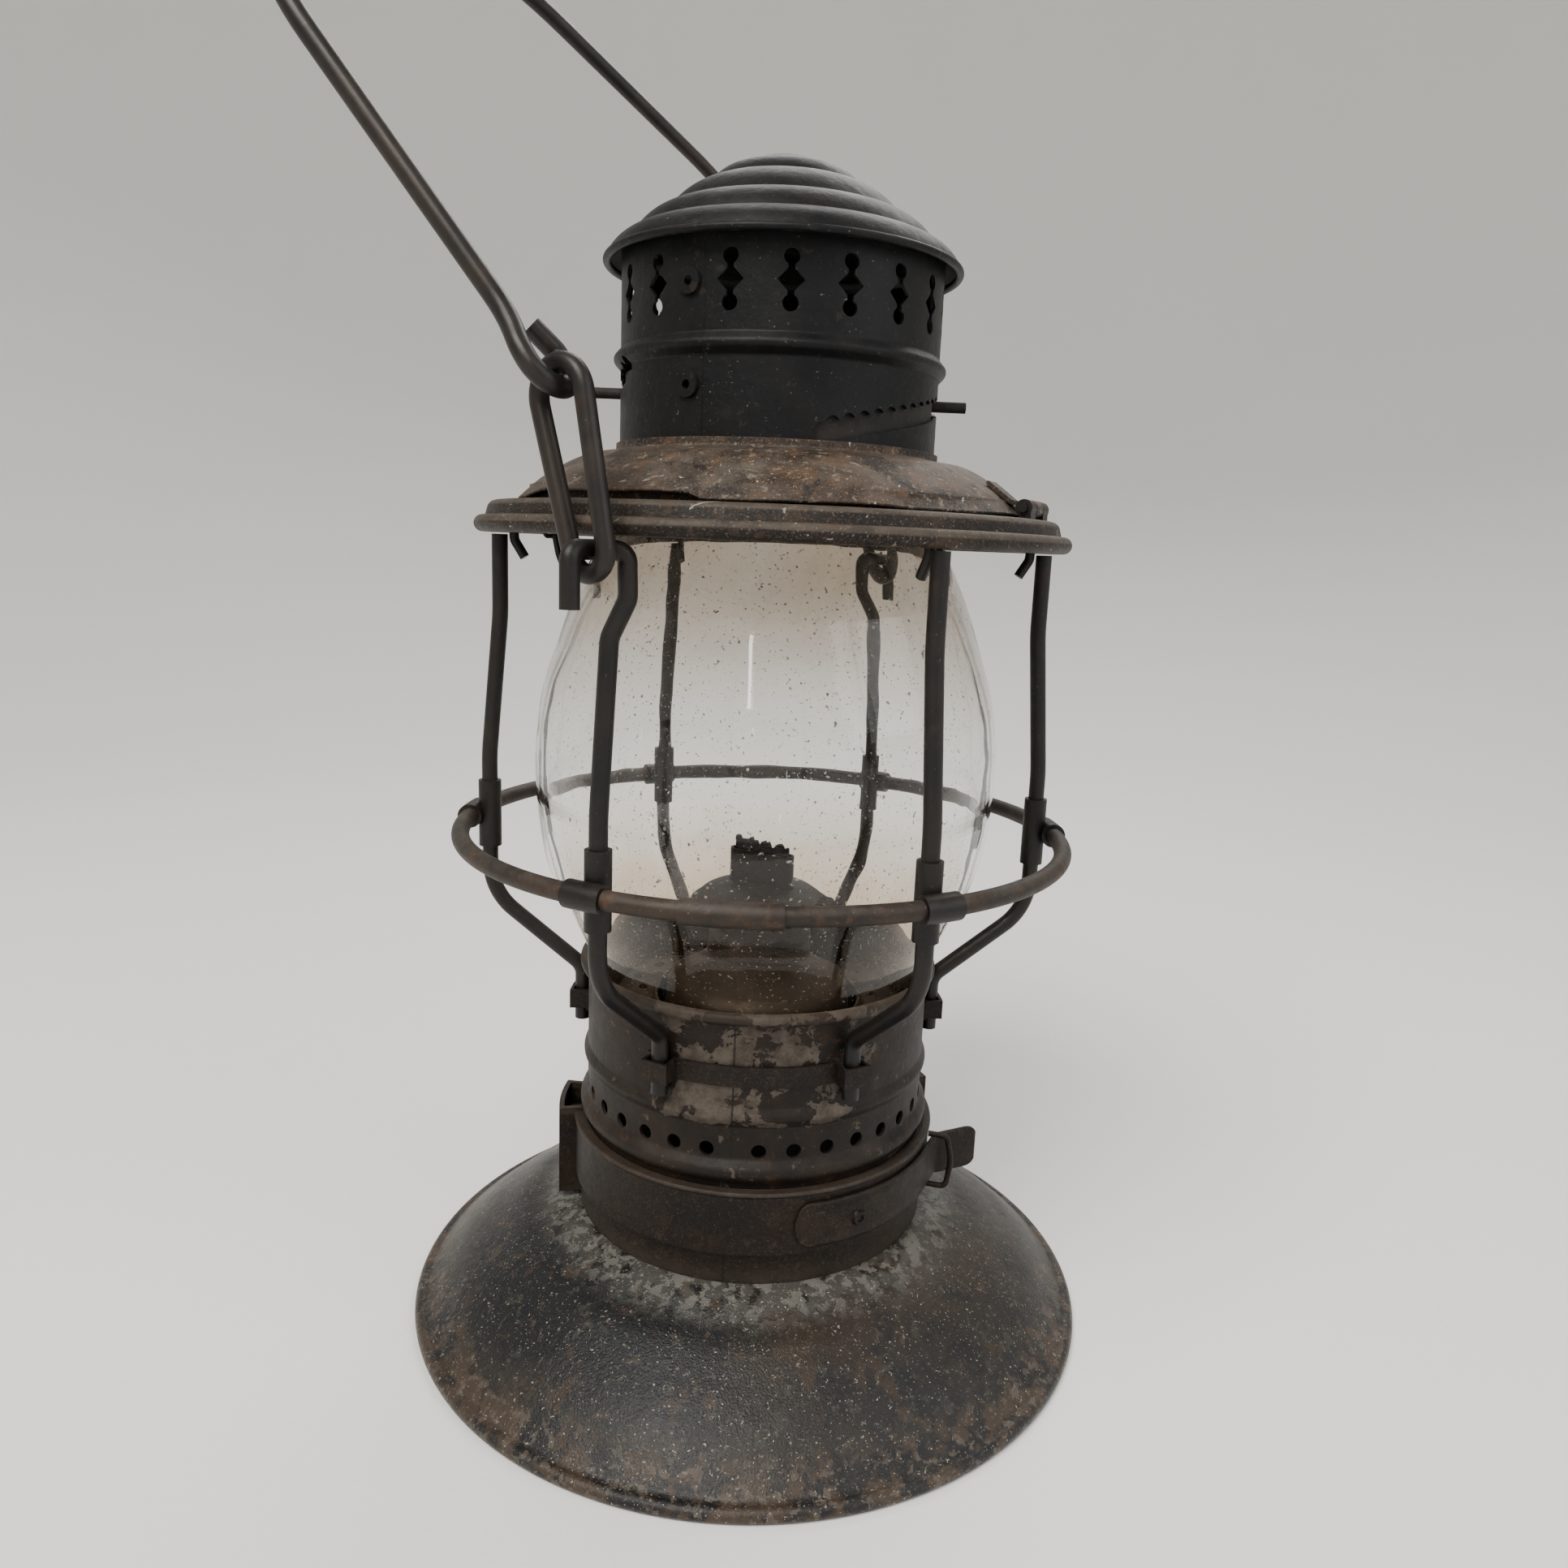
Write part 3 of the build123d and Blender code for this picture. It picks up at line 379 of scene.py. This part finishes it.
def rim_look():
    """Lid: brown rust and pale dust over black that shows wear, with lint that has settled on it; the
    dust film on its upper faces is partly real dust and partly a painted highlight.
    """
    # Painted highlight: the pale dust colour and the high dust share make the film on the upward
    # faces stand partly for light reflected off the lid's top, partly for real dust.
    look = aged_metal("rim_finish", (0.0125, 0.0092, 0.0070), (0.0330, 0.0215, 0.0140),
                      (0.070, 0.036, 0.0175), (0.185, 0.156, 0.125), 0.65, 0.9, (0.42, 0.70), 1.3)
    bare = look.ease(look.noise(52, 9, 0.75, 0.8), 0.54, 0.62)
    look.tinted(look.times(bare, 0.8), (0.0062, 0.0060, 0.0062))
    look.flecked(190, 0.560, 0.65, (0.0780, 0.0430, 0.0215))
    look.flecked(420, 0.600, 0.65, (0.1650, 0.1350, 0.1030))
    look.flecked(70, 0.590, 0.70, (0.0070, 0.0066, 0.0066))
    look.peppered(0.6, (0.070, 0.039, 0.021), (0.210, 0.180, 0.145))
    look.linted(0.85, (0.42, 0.38, 0.32))
    return finished(look)


def flange_look():
    """Flange round the rim: black with wear and brown dust, and tan lines along its raised edges that
    are painted highlights.
    """
    look = aged_metal("flange_finish", (0.0050, 0.0039, 0.0033), (0.0125, 0.0084, 0.0058),
                      (0.040, 0.0215, 0.0120), (0.150, 0.125, 0.100), 0.45, 0.35, (0.42, 0.66))
    look.shader.inputs["Specular IOR Level"].default_value = 0.2
    look.flecked(160, 0.570, 0.60, (0.0330, 0.0200, 0.0120))
    out = look.radius()
    # Painted highlight: tan lines along the flange's raised edge and bead stand for light caught on
    # them.
    edge = look.times(look.band(look.z, 0.2064, 0.2076, 0.0004), look.ease(out, 0.0655, 0.0675))
    bead = look.times(look.band(look.z, 0.2026, 0.2041, 0.0005), look.ease(out, 0.0700, 0.0708))
    wear_and_highlight = look.times(look.math("MAXIMUM", edge, bead),
                      look.span(look.noise(190, 7, 0.75), -0.3, 1.2))
    look.tinted(look.math("MULTIPLY", wear_and_highlight, 0.75, clamp=True), (0.110, 0.090, 0.069))
    look.peppered(0.5, (0.058, 0.034, 0.020), (0.180, 0.155, 0.125))
    look.linted(0.5, (0.34, 0.31, 0.26))
    return finished(look)


def wire_look():
    """Worn black-brown wire with rust patches along it."""
    look = aged_metal("wire_finish", (0.0030, 0.0026, 0.0024), (0.0075, 0.0051, 0.0038),
                      (0.026, 0.0135, 0.0074), DUST, 0.5, 0.3, (0.34, 0.56), 0.3)
    return finished(look)


def ring_look():
    """Guard ring and its sleeve: browner and drier than the uprights, and pitted."""
    look = aged_metal("ring_finish", (0.0115, 0.0080, 0.0057), (0.0260, 0.0162, 0.0102),
                      (0.070, 0.037, 0.0195), DUST, 0.8, 0.7, (0.42, 0.68), 0.35)
    return finished(look)


def handle_look():
    """Bail and links: handled steel, greyer and a little shiny, with rust spots."""
    look = aged_metal("handle_finish", (0.0135, 0.0120, 0.0112), (0.0240, 0.0190, 0.0158),
                      (0.036, 0.0170, 0.0095), DUST, 0.6, 0.25, (0.30, 0.50), 0.22, metal=0.3)
    return finished(look)


def sooty_look():
    """Sooted steel inside the lantern: dull black-brown."""
    look = aged_metal("sooty_finish", (0.0060, 0.0052, 0.0047), (0.0130, 0.0100, 0.0082),
                      (0.032, 0.018, 0.010), DUST, 0.4, 0.45, (0.5, 0.8))
    return finished(look)


def fount_look():
    """Oil fount: dull tinned sheet, stained with oil and soot, browner towards the burner."""
    look = aged_metal("fount_finish", (0.045, 0.041, 0.036), (0.030, 0.022, 0.0165),
                      (0.046, 0.026, 0.015), DUST, 0.7, 0.5, (0.3, 0.6), metal=0.4)
    smoke = look.times(look.ease(look.z, 0.070, FOUNT_SMOKED),
                       look.span(look.noise(70, 7, 0.7), 0.4, 1.0))
    look.tinted(smoke, (0.010, 0.0075, 0.006))
    return finished(look)


def burner_look():
    """Smoked brass, nearly brown-black at the top."""
    look = aged_metal("burner_finish", (0.0080, 0.0054, 0.0036), (0.0190, 0.0115, 0.0064),
                      (0.040, 0.0225, 0.0105), DUST, 0.5, 0.3, (0.38, 0.66), metal=0.4)
    char = look.times(look.ease(look.z, BURNER_CHARRED - 0.006, BURNER_CHARRED),
                      look.span(look.noise(150, 7, 0.7), 0.4, 1.0))
    look.tinted(char, (0.0034, 0.0027, 0.0022))
    return finished(look)


def wick_look():
    """Woven cotton: tan below, charred black at the top."""
    look = Look("wick_finish")
    weave = look.node("ShaderNodeTexWave", wave_type="BANDS", bands_direction="Z")
    look.link(look.place, weave.inputs["Vector"])
    weave.inputs["Scale"].default_value = 420
    weave.inputs["Distortion"].default_value = 1.2
    thread = weave.outputs["Fac"]
    cloth = look.mixed(thread, (0.10, 0.075, 0.050), (0.17, 0.130, 0.090))
    edge = look.math("ADD", look.z, look.math("MULTIPLY", look.noise(300, 4, 0.6), 0.004))
    char = look.ease(edge, WICK_CHARRED, WICK_CHARRED + 0.0035)
    charred = look.ease(look.noise(900, 4, 0.7), 0.45, 0.6)
    crust = look.mixed(charred, (0.003, 0.0027, 0.0025), (0.012, 0.009, 0.007))
    look.colour = look.mixed(char, cloth, crust)
    look.shader.inputs["Roughness"].default_value = 0.95
    look.layers = ((thread, 0.0003), (look.noise(800, 4, 0.7), 0.0003))
    return finished(look)


def glass_look():
    """Clear old glass: smoke at the neck and the seat, a dust film, specks and hair scratches; the
    amber-brown at the seat is partly real soot and partly a painted warm reflection.
    """
    look = Look("globe_glass_finish")
    cloud = look.noise(24, 5, 0.65, 0.8)
    fine = look.noise(260, 5, 0.7, 0.3)
    neck = look.times(look.ease(look.z, GLASS_MIDDLE, 0.196), look.span(cloud, 0.45, 1.35))
    foot = look.times(look.ease(look.z, GLASS_MIDDLE - 0.016, 0.096),
                      look.span(look.noise(31, 5, 0.65, 1.0), 0.35, 1.25))
    smoke = look.math("MAXIMUM", neck, foot, clamp=True)
    film = look.times(look.ease(fine, 0.35, 0.7), look.span(smoke, 0.0010, 0.0045))
    crumb = look.ease(look.noise(380, 2, 0.5), 0.735, 0.755)
    grit = look.ease(look.noise(1000, 2, 0.5), 0.690, 0.725)
    speck = look.times(look.math("MAXIMUM", grit, crumb), 0.85)
    upright = look.stretched((9.0, 9.0, 0.9))
    hair = look.times(look.ease(look.noise(60, 3, 0.5, 0.0, upright), 0.735, 0.75), 0.2)
    marks = look.math("MAXIMUM", speck, hair)
    # Amber-brown below the middle: partly real soot staining, partly a painted reflection of a warm
    # surface in front of the globe.
    soot = look.mixed(look.ease(look.z, GLASS_MIDDLE, 0.120),
                      (0.66, 0.60, 0.525), (0.64, 0.50, 0.35))
    tint = look.mixed(smoke, (0.985, 0.983, 0.972), soot)
    look.colour = look.mixed(speck, tint, (0.060, 0.045, 0.032))
    dirt = look.math("MAXIMUM", film, marks, clamp=True)
    look.feed(look.shader.inputs["Transmission Weight"], look.span(dirt, 1.0, 0.1))
    look.feed(look.shader.inputs["Roughness"], look.span(dirt, 0.012, 0.5))
    look.shader.inputs["IOR"].default_value = 1.27
    look.layers = ((look.noise(42, 2, 0.5), 0.00035),)
    clear = look.node("ShaderNodeBsdfTransparent")
    clear.inputs[0].default_value = (0.92, 0.91, 0.89, 1.0)
    lamp = look.node("ShaderNodeLightPath").outputs["Is Shadow Ray"]
    both = look.node("ShaderNodeMixShader")
    look.link(lamp, both.inputs[0])
    look.link(look.shader.outputs[0], both.inputs[1])
    look.link(clear.outputs[0], both.inputs[2])
    look.link(both.outputs[0], look.output.inputs[0])
    return finished(look)


LOOKS = {
    "bell_steel": bell_look(),
    "band_steel": band_look(),
    "painted_drum": drum_look(),
    "sooty_steel": sooty_look(),
    "fount_steel": fount_look(),
    "burner_brass": burner_look(),
    "wick_cotton": wick_look(),
    "wire_steel": wire_look(),
    "rim_steel": rim_look(),
    "chimney_black": chimney_look(),
    "globe_glass": glass_look(),
}
SPECIAL = {
    "guard_ring": ring_look(),
    "bail": handle_look(),
    "top_ring": flange_look(),
}
SPECIAL["ring_sleeve"] = SPECIAL["guard_ring"]
SPECIAL["link_near"] = SPECIAL["bail"]
SPECIAL["link_far"] = SPECIAL["bail"]


# --- mesh building --------------------------------------------------------------
def new_piece(name, bm, material):
    mesh = bpy.data.meshes.new(name)
    bmesh.ops.recalc_face_normals(bm, faces=bm.faces)
    for face in bm.faces:
        face.smooth = True
    bm.to_mesh(mesh)
    bm.free()
    piece = bpy.data.objects.new(name, mesh)
    bpy.context.scene.collection.objects.link(piece)
    mesh.materials.append(material)
    return piece


def share_of(value):
    """The value, held between 0 and 1."""
    return max(0.0, min(1.0, value))


def outward(azimuth):
    """Unit vector away from the axis; the azimuth is in radians."""
    return Vector((math.sin(azimuth), -math.cos(azimuth), 0))


def curve_through(points, per_span):
    """Points along a smooth curve through the given ones."""
    padded = [points[0], *points, points[-1]]
    made = []
    for k in range(len(points) - 1):
        p0, p1, p2, p3 = (Vector(p) for p in padded[k:k + 4])
        for step in range(per_span):
            t = step / per_span
            made.append(0.5 * ((2 * p1) + (p2 - p0) * t + (2 * p0 - 5 * p1 + 4 * p2 - p3) * t * t
                               + (3 * p1 - p0 - 3 * p2 + p3) * t * t * t))
    made.append(Vector(points[-1]))
    return made


def arc(centre, radius, start, end, steps):
    """Points of a circle in the section plane, in degrees from the outward direction."""
    angles = [math.radians(start + (end - start) * k / steps) for k in range(steps + 1)]
    return [Vector((centre[0] + radius * math.cos(angle), centre[1] + radius * math.sin(angle)))
            for angle in angles]


def turned(name, section, material, steps=192, uneven=None):
    """Closed section of (radius, height) turned about the axis.

    uneven takes a point and its outward direction, and gives the point's shift.
    """
    bm = bmesh.new()
    rings = []
    for k in range(steps):
        direction = outward(2 * math.pi * k / steps)
        ring = []
        for radius, height in section:
            place = direction * radius + Vector((0, 0, height))
            if uneven:
                place += uneven(place, direction)
            ring.append(bm.verts.new(place))
        rings.append(ring)
    count = len(section)
    for k in range(steps):
        here, there = rings[k], rings[(k + 1) % steps]
        for i in range(count):
            j = (i + 1) % count
            bm.faces.new((here[i], there[i], there[j], here[j]))
    return new_piece(name, bm, material)


# azimuth, distance from the axis, depth and width of each shallow dent in the bell
BELL_DENTS = ((24, 0.078, 0.0009, 0.011), (-52, 0.070, 0.0008, 0.013),
              (140, 0.074, 0.0010, 0.012), (-128, 0.066, 0.0007, 0.010))


def build_bell():
    """Spun bell with a rolled rim, a few shallow dents and a slight waver."""
    shoulder = 0.0265
    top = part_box("bell_base")[1].z
    outer = curve_through([(0.0424, top), (0.0468, top), (0.0510, top - 0.0010),
                           (0.0560, top - 0.0033), (0.0622, top - 0.0057), (0.0690, top - 0.0098),
                           (0.0758, top - 0.0144), (0.0812, top - 0.0190), (0.0856, top - 0.0229)], 6)
    rim_centre = (0.0872, 0.0016)
    rim_radius = 0.0018
    roll = arc(rim_centre, rim_radius, 110, -62, 22)
    roll += [Vector((0.08805, 0.0)), Vector((0.0872, 0.0)), Vector((0.08635, 0.0))]
    roll += arc(rim_centre, rim_radius, 242, 160, 8)
    inner = [Vector((p[0] - 0.0004, p[1] - 0.0011)) for p in reversed(outer)]
    section = outer + roll + inner

    def uneven(place, direction):
        free = share_of((shoulder - place.z) / 0.006) * share_of((place.z - 0.004) / 0.004)
        wave = noise.noise(place * 26) * 0.00055
        wave += noise.noise(place * 70 + Vector((3, 1, 7))) * 0.00022
        dent = 0.0
        for azimuth, out, depth, width in BELL_DENTS:
            turn = math.radians(azimuth)
            centre = Vector((math.sin(turn) * out, -math.cos(turn) * out, place.z))
            dent += depth * math.exp(-((place - centre).length / width) ** 2)
        return Vector((0, 0, free * (wave - dent)))

    piece = turned("bell_shell", section, LOOKS["bell_steel"], 240, uneven)
    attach(piece, "base")
    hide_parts("bell_base")


def build_lid_plate():
    """Lid plate with a rolled flange.

    Its edge is bent up a little at the front left, which leaves a dark slit over the rim.
    """
    bent_from, bent_to = -66, -14
    most_rise = 0.0013
    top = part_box("lid_plate")[1].z
    edge = 0.2081
    outer = curve_through([(0.03885, top), (0.03885, 0.22080), (0.0390, 0.22015), (0.0398, 0.21985),
                           (0.0432, 0.21925), (0.0466, 0.21845), (0.0500, 0.2169), (0.0530, 0.2150),
                           (0.0564, 0.2128), (0.0590, 0.2106), (0.0614, 0.2084)], 6)
    lip = arc((0.0612, edge), 0.00040, 35, -125, 8)
    inner = curve_through([(0.0606, 0.2080), (0.0586, 0.2098), (0.0559, 0.2119), (0.0525, 0.2143),
                           (0.0496, 0.2161), (0.0463, 0.2176), (0.0430, 0.21845), (0.0394, 0.21905),
                           (0.0384, 0.21940), (0.03805, 0.2200), (0.03805, top)], 6)

    def uneven(place, direction):
        turn = math.degrees(math.atan2(direction.x, -direction.y))
        out = Vector((place.x, place.y, 0)).length
        free = share_of((out - 0.0400) / 0.006)
        wave = noise.noise(place * 34) * 0.00045
        wave += noise.noise(place * 90 + Vector((9, 2, 4))) * 0.00018
        rise = most_rise * share_of((out - 0.0530) / 0.008)
        rise *= share_of((turn - bent_from) / 12) * share_of((bent_to - turn) / 2.5)
        return Vector((0, 0, wave * free + rise))

    section = outer + lip + inner
    piece = turned("lid_shell", section, LOOKS["rim_steel"], 288, uneven)
    skirt = arc((0.0587, 0.2055), 0.0004, 200, 340, 6)
    skirt += [Vector((0.05905, 0.2112)), Vector((0.05835, 0.2112))]
    register = turned("lid_register", skirt, LOOKS["rim_steel"])
    for part in (piece, register):
        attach(part, "lid")
    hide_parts("lid_plate")
    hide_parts("lid_plate")


def build_globe():
    """Blown globe: thick glass with ground edges and a gentle waver in its walls."""
    low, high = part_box("globe")
    outer = [(0.0424, low.z), (0.0432, 0.0930), (0.0498, 0.1080), (0.0549, 0.1190), (0.0574, 0.1330),
             (0.0580, 0.1490), (0.0563, 0.1630), (0.0527, 0.1746), (0.0486, 0.1865), (0.0430, 0.1985),
             (0.0390, 0.2075), (0.0381, high.z)]
    inner = [(0.0396, low.z), (0.0404, 0.0938), (0.0472, 0.1092), (0.0521, 0.1200), (0.0546, 0.1336),
             (0.0552, 0.1490), (0.0535, 0.1624), (0.0500, 0.1735), (0.0460, 0.1853), (0.0405, 0.1970),
             (0.0364, 0.2065), (0.0353, high.z)]
    section = curve_through(outer, 8) + list(reversed(curve_through(inner, 8)))

    def uneven(place, direction):
        ends = share_of((place.z - low.z) / 0.012) * share_of((high.z - place.z) / 0.012)
        return direction * (noise.noise(place * 30) * 0.00022 * ends - 0.00012 * ends)

    piece = turned("globe_glass", section, LOOKS["globe_glass"], 256, uneven)
    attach(piece, "cage")
    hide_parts("globe")


def build_latch():
    """One spring strip, riveted to the band at its left end; its free end flares into a tab."""
    low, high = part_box("latch_foot")
    middle = (low.z + high.z) / 2
    half = (high.z - low.z) / 2
    radius = 0.0483
    half_thick = 0.0004
    left_end, bend = 13, 69
    stations = []
    for azimuth in range(left_end, bend + 1):
        direction = outward(math.radians(azimuth))
        stations.append((direction * radius, direction))
    along = Vector((math.cos(math.radians(bend)), math.sin(math.radians(bend)), 0))
    away = outward(math.radians(bend))
    start = stations[-1][0]
    knee = start + along * 0.008 + away * 0.0006
    for k in range(1, 9):
        stations.append((start.lerp(knee, k / 8), away))
    tip_way = (along * 0.72 + away * 0.69).normalized()
    tip_out = (away * 0.72 - along * 0.69).normalized()
    tab_length, tab_steps = 0.0128, 18
    for k in range(1, tab_steps + 1):
        share = min(1.0, k / 5)
        place = knee + tip_way * (tab_length * k / tab_steps)
        stations.append((place, away.lerp(tip_out, share).normalized()))
    count = len(stations)
    bm = bmesh.new()
    rows = []
    across = (-1.0, -0.93, -0.84, -0.74, -0.45, 0.0, 0.45, 0.74, 0.84, 0.93, 1.0)
    bead, bead_from, bead_to = 0.00022, 0.74, 0.95
    for index, (place, out) in enumerate(stations):
        span = 1.0
        left = index / 4.5
        if left < 1:
            span = math.sqrt(max(0.02, 1 - (1 - left) ** 2))
        right = (count - 1 - index) / 4.5
        if right < 1:
            span = math.sqrt(max(0.02, 1 - (1 - right) ** 2)) * 0.35 + 0.65
        inset = index < 6 or index > count - 8
        front, back = [], []
        for part in across:
            raised = bead if bead_from < abs(part) < bead_to and not inset else 0.0
            level = Vector((0, 0, middle + part * half * span))
            front.append(bm.verts.new(place + out * (half_thick + raised) + level))
            back.append(bm.verts.new(place - out * half_thick + level))
        rows.append((front, back))
    last = len(across) - 1
    for (front, back), (next_front, next_back) in zip(rows[:-1], rows[1:]):
        for i in range(last):
            bm.faces.new((front[i], next_front[i], next_front[i + 1], front[i + 1]))
            bm.faces.new((back[i + 1], next_back[i + 1], next_back[i], back[i]))
        bm.faces.new((back[0], next_back[0], next_front[0], front[0]))
        bm.faces.new((front[last], next_front[last], next_back[last], back[last]))
    for front, back in (rows[0], rows[-1]):
        for i in range(last):
            bm.faces.new((front[i], front[i + 1], back[i + 1], back[i]))
    piece = new_piece("latch_strip", bm, LOOKS["band_steel"])
    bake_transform(piece)
    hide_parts("latch_foot", "latch_leaf")


def build_wick():
    """Flat woven wick with a ragged, charred top."""
    low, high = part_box("wick")
    azimuth = 60
    turn = Matrix.Rotation(math.radians(azimuth - 90), 4, "Z")
    columns, rows = 44, 60
    width, depth = 0.0156, 0.0011
    stands_out, char_from = 0.0010, 0.1195
    bm = bmesh.new()
    sheets = []
    for side in (1, -1):
        sheet = []
        for i in range(columns + 1):
            across = (i / columns - 0.5) * width
            ragged = noise.noise(Vector((across * 420, 0.4, 0.2))) * 0.0022
            ragged += noise.noise(Vector((across * 1300, 2.4, 5.2))) * 0.0012
            top = high.z + stands_out + ragged
            column = []
            for j in range(rows + 1):
                height = low.z + (top - low.z) * j / rows
                rough = noise.noise(Vector((across * 900, side * 3, height * 900)))
                burnt = share_of((height - char_from) / 0.002)
                thread = 0.00007 * math.sin(height * 9000 + (i % 2) * math.pi)
                crowned = depth * (1 - 0.55 * abs(i / columns - 0.5) * 2)
                bulge = crowned + thread + rough * 0.0004 * burnt
                column.append(bm.verts.new(turn @ Vector((across, side * bulge, height))))
            sheet.append(column)
        sheets.append(sheet)
    front, back = sheets
    for i in range(columns):
        for j in range(rows):
            bm.faces.new((front[i][j], front[i + 1][j], front[i + 1][j + 1], front[i][j + 1]))
            bm.faces.new((back[i][j + 1], back[i + 1][j + 1], back[i + 1][j], back[i][j]))
        bm.faces.new((front[i][0], back[i][0], back[i + 1][0], front[i + 1][0]))
        bm.faces.new((front[i][rows], front[i + 1][rows], back[i + 1][rows], back[i][rows]))
    for i in (0, columns):
        for j in range(rows):
            bm.faces.new((front[i][j], front[i][j + 1], back[i][j + 1], back[i][j]))
    piece = new_piece("wick_web", bm, LOOKS["wick_cotton"])
    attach(piece, "wick")
    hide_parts("wick")


build_bell()
build_lid_plate()
build_globe()
build_latch()
build_wick()

for row in frame["record"]["subparts"]:
    name = row["node"]
    data = nodes[name].data
    data.materials.clear()
    data.materials.append(SPECIAL.get(name, LOOKS[row["material_slot"]]))


# --- floor, light and camera ----------------------------------------------------
def build_floor():
    """Pale plain floor that rises far away, all round the object."""
    look = Look("floor_finish")
    look.colour = look.mixed(look.noise(3, 4, 0.6), (0.77, 0.76, 0.74), (0.81, 0.80, 0.78))
    look.shader.inputs["Roughness"].default_value = 0.75
    look.layers = ((look.noise(420, 3, 0.6), 0.0001),)
    flat, curl, wall = 0.8, 1.4, 3.2
    line = [Vector((0.02, 0.0)), *arc((flat, curl), curl, -90, 0, 48), Vector((flat + curl, wall))]
    steps = 144
    turns = [2 * math.pi * k / steps for k in range(steps)]
    bm = bmesh.new()
    rings = []
    for out, height in line:
        rings.append([bm.verts.new((out * math.sin(turn), out * math.cos(turn), height))
                      for turn in turns])
    bm.faces.new(rings[0])
    for here, there in zip(rings[:-1], rings[1:]):
        for k in range(steps):
            after = (k + 1) % steps
            bm.faces.new((here[k], here[after], there[after], there[k]))
    new_piece("floor", bm, finished(look))


# name, place, aim, size, power and tint of each lamp
SOFTBOXES = (
    ("key", (-0.42, -0.72, 1.22), (0, 0, 0.12), (0.8, 0.6), 27, (1.0, 0.97, 0.92)),
    ("strip", (-0.17, -0.91, 0.64), (0, 0, 0.17), (0.03, 0.18), 0.9, (1.0, 0.99, 0.97)),
    ("fill", (0.95, -0.55, 0.75), (0, 0, 0.14), (0.9, 0.9), 7, (0.93, 0.96, 1.0)),
    ("back", (0.25, 0.85, 1.10), (0, 0, 0.18), (1.0, 0.5), 9, (1.0, 0.98, 0.96)),
)


def add_softbox(name, place, aim, size, power, tint):
    """Rectangular lamp that faces the aim; the power is in watts."""
    data = bpy.data.lights.new(name, "AREA")
    data.shape = "RECTANGLE"
    data.size, data.size_y = size
    data.energy = power
    data.color = tint
    lamp = bpy.data.objects.new(name, data)
    bpy.context.scene.collection.objects.link(lamp)
    lamp.location = place
    lamp.rotation_mode = "QUATERNION"
    lamp.rotation_quaternion = (Vector(aim) - Vector(place)).to_track_quat("-Z", "Y")


def light_studio():
    """Large key, narrow strip for the highlight, cool fill, back light and a pale surround."""
    for name, place, aim, size, power, tint in SOFTBOXES:
        add_softbox(name, place, aim, size, power, tint)
    world = bpy.data.worlds.new("studio")
    world.use_nodes = True
    surround = world.node_tree.nodes["Background"]
    surround.inputs["Color"].default_value = (0.80, 0.82, 0.84, 1)
    surround.inputs["Strength"].default_value = 0.27
    bpy.context.scene.world = world


def build_camera():
    """Camera just in front of the lantern, a little above its middle, looking slightly down."""
    turn, pitch, roll = math.radians(0.95), math.radians(11.36), math.radians(2.30)
    place = (0, -0.2975, 0.1992)
    level = math.cos(pitch)
    forward = Vector((math.sin(turn) * level, math.cos(turn) * level, -math.sin(pitch)))
    right = forward.cross(Vector((0, 0, 1))).normalized()
    up = right.cross(forward)
    facing = Matrix((right, up, -forward)).transposed() @ Matrix.Rotation(roll, 3, "Z")
    data = bpy.data.cameras.new("main_camera")
    data.sensor_width = 36
    data.lens = 27.04
    data.clip_start = 0.01
    camera = bpy.data.objects.new("main_camera", data)
    bpy.context.scene.collection.objects.link(camera)
    camera.matrix_world = Matrix.Translation(place) @ facing.to_4x4()
    bpy.context.scene.camera = camera


build_floor()
light_studio()
build_camera()
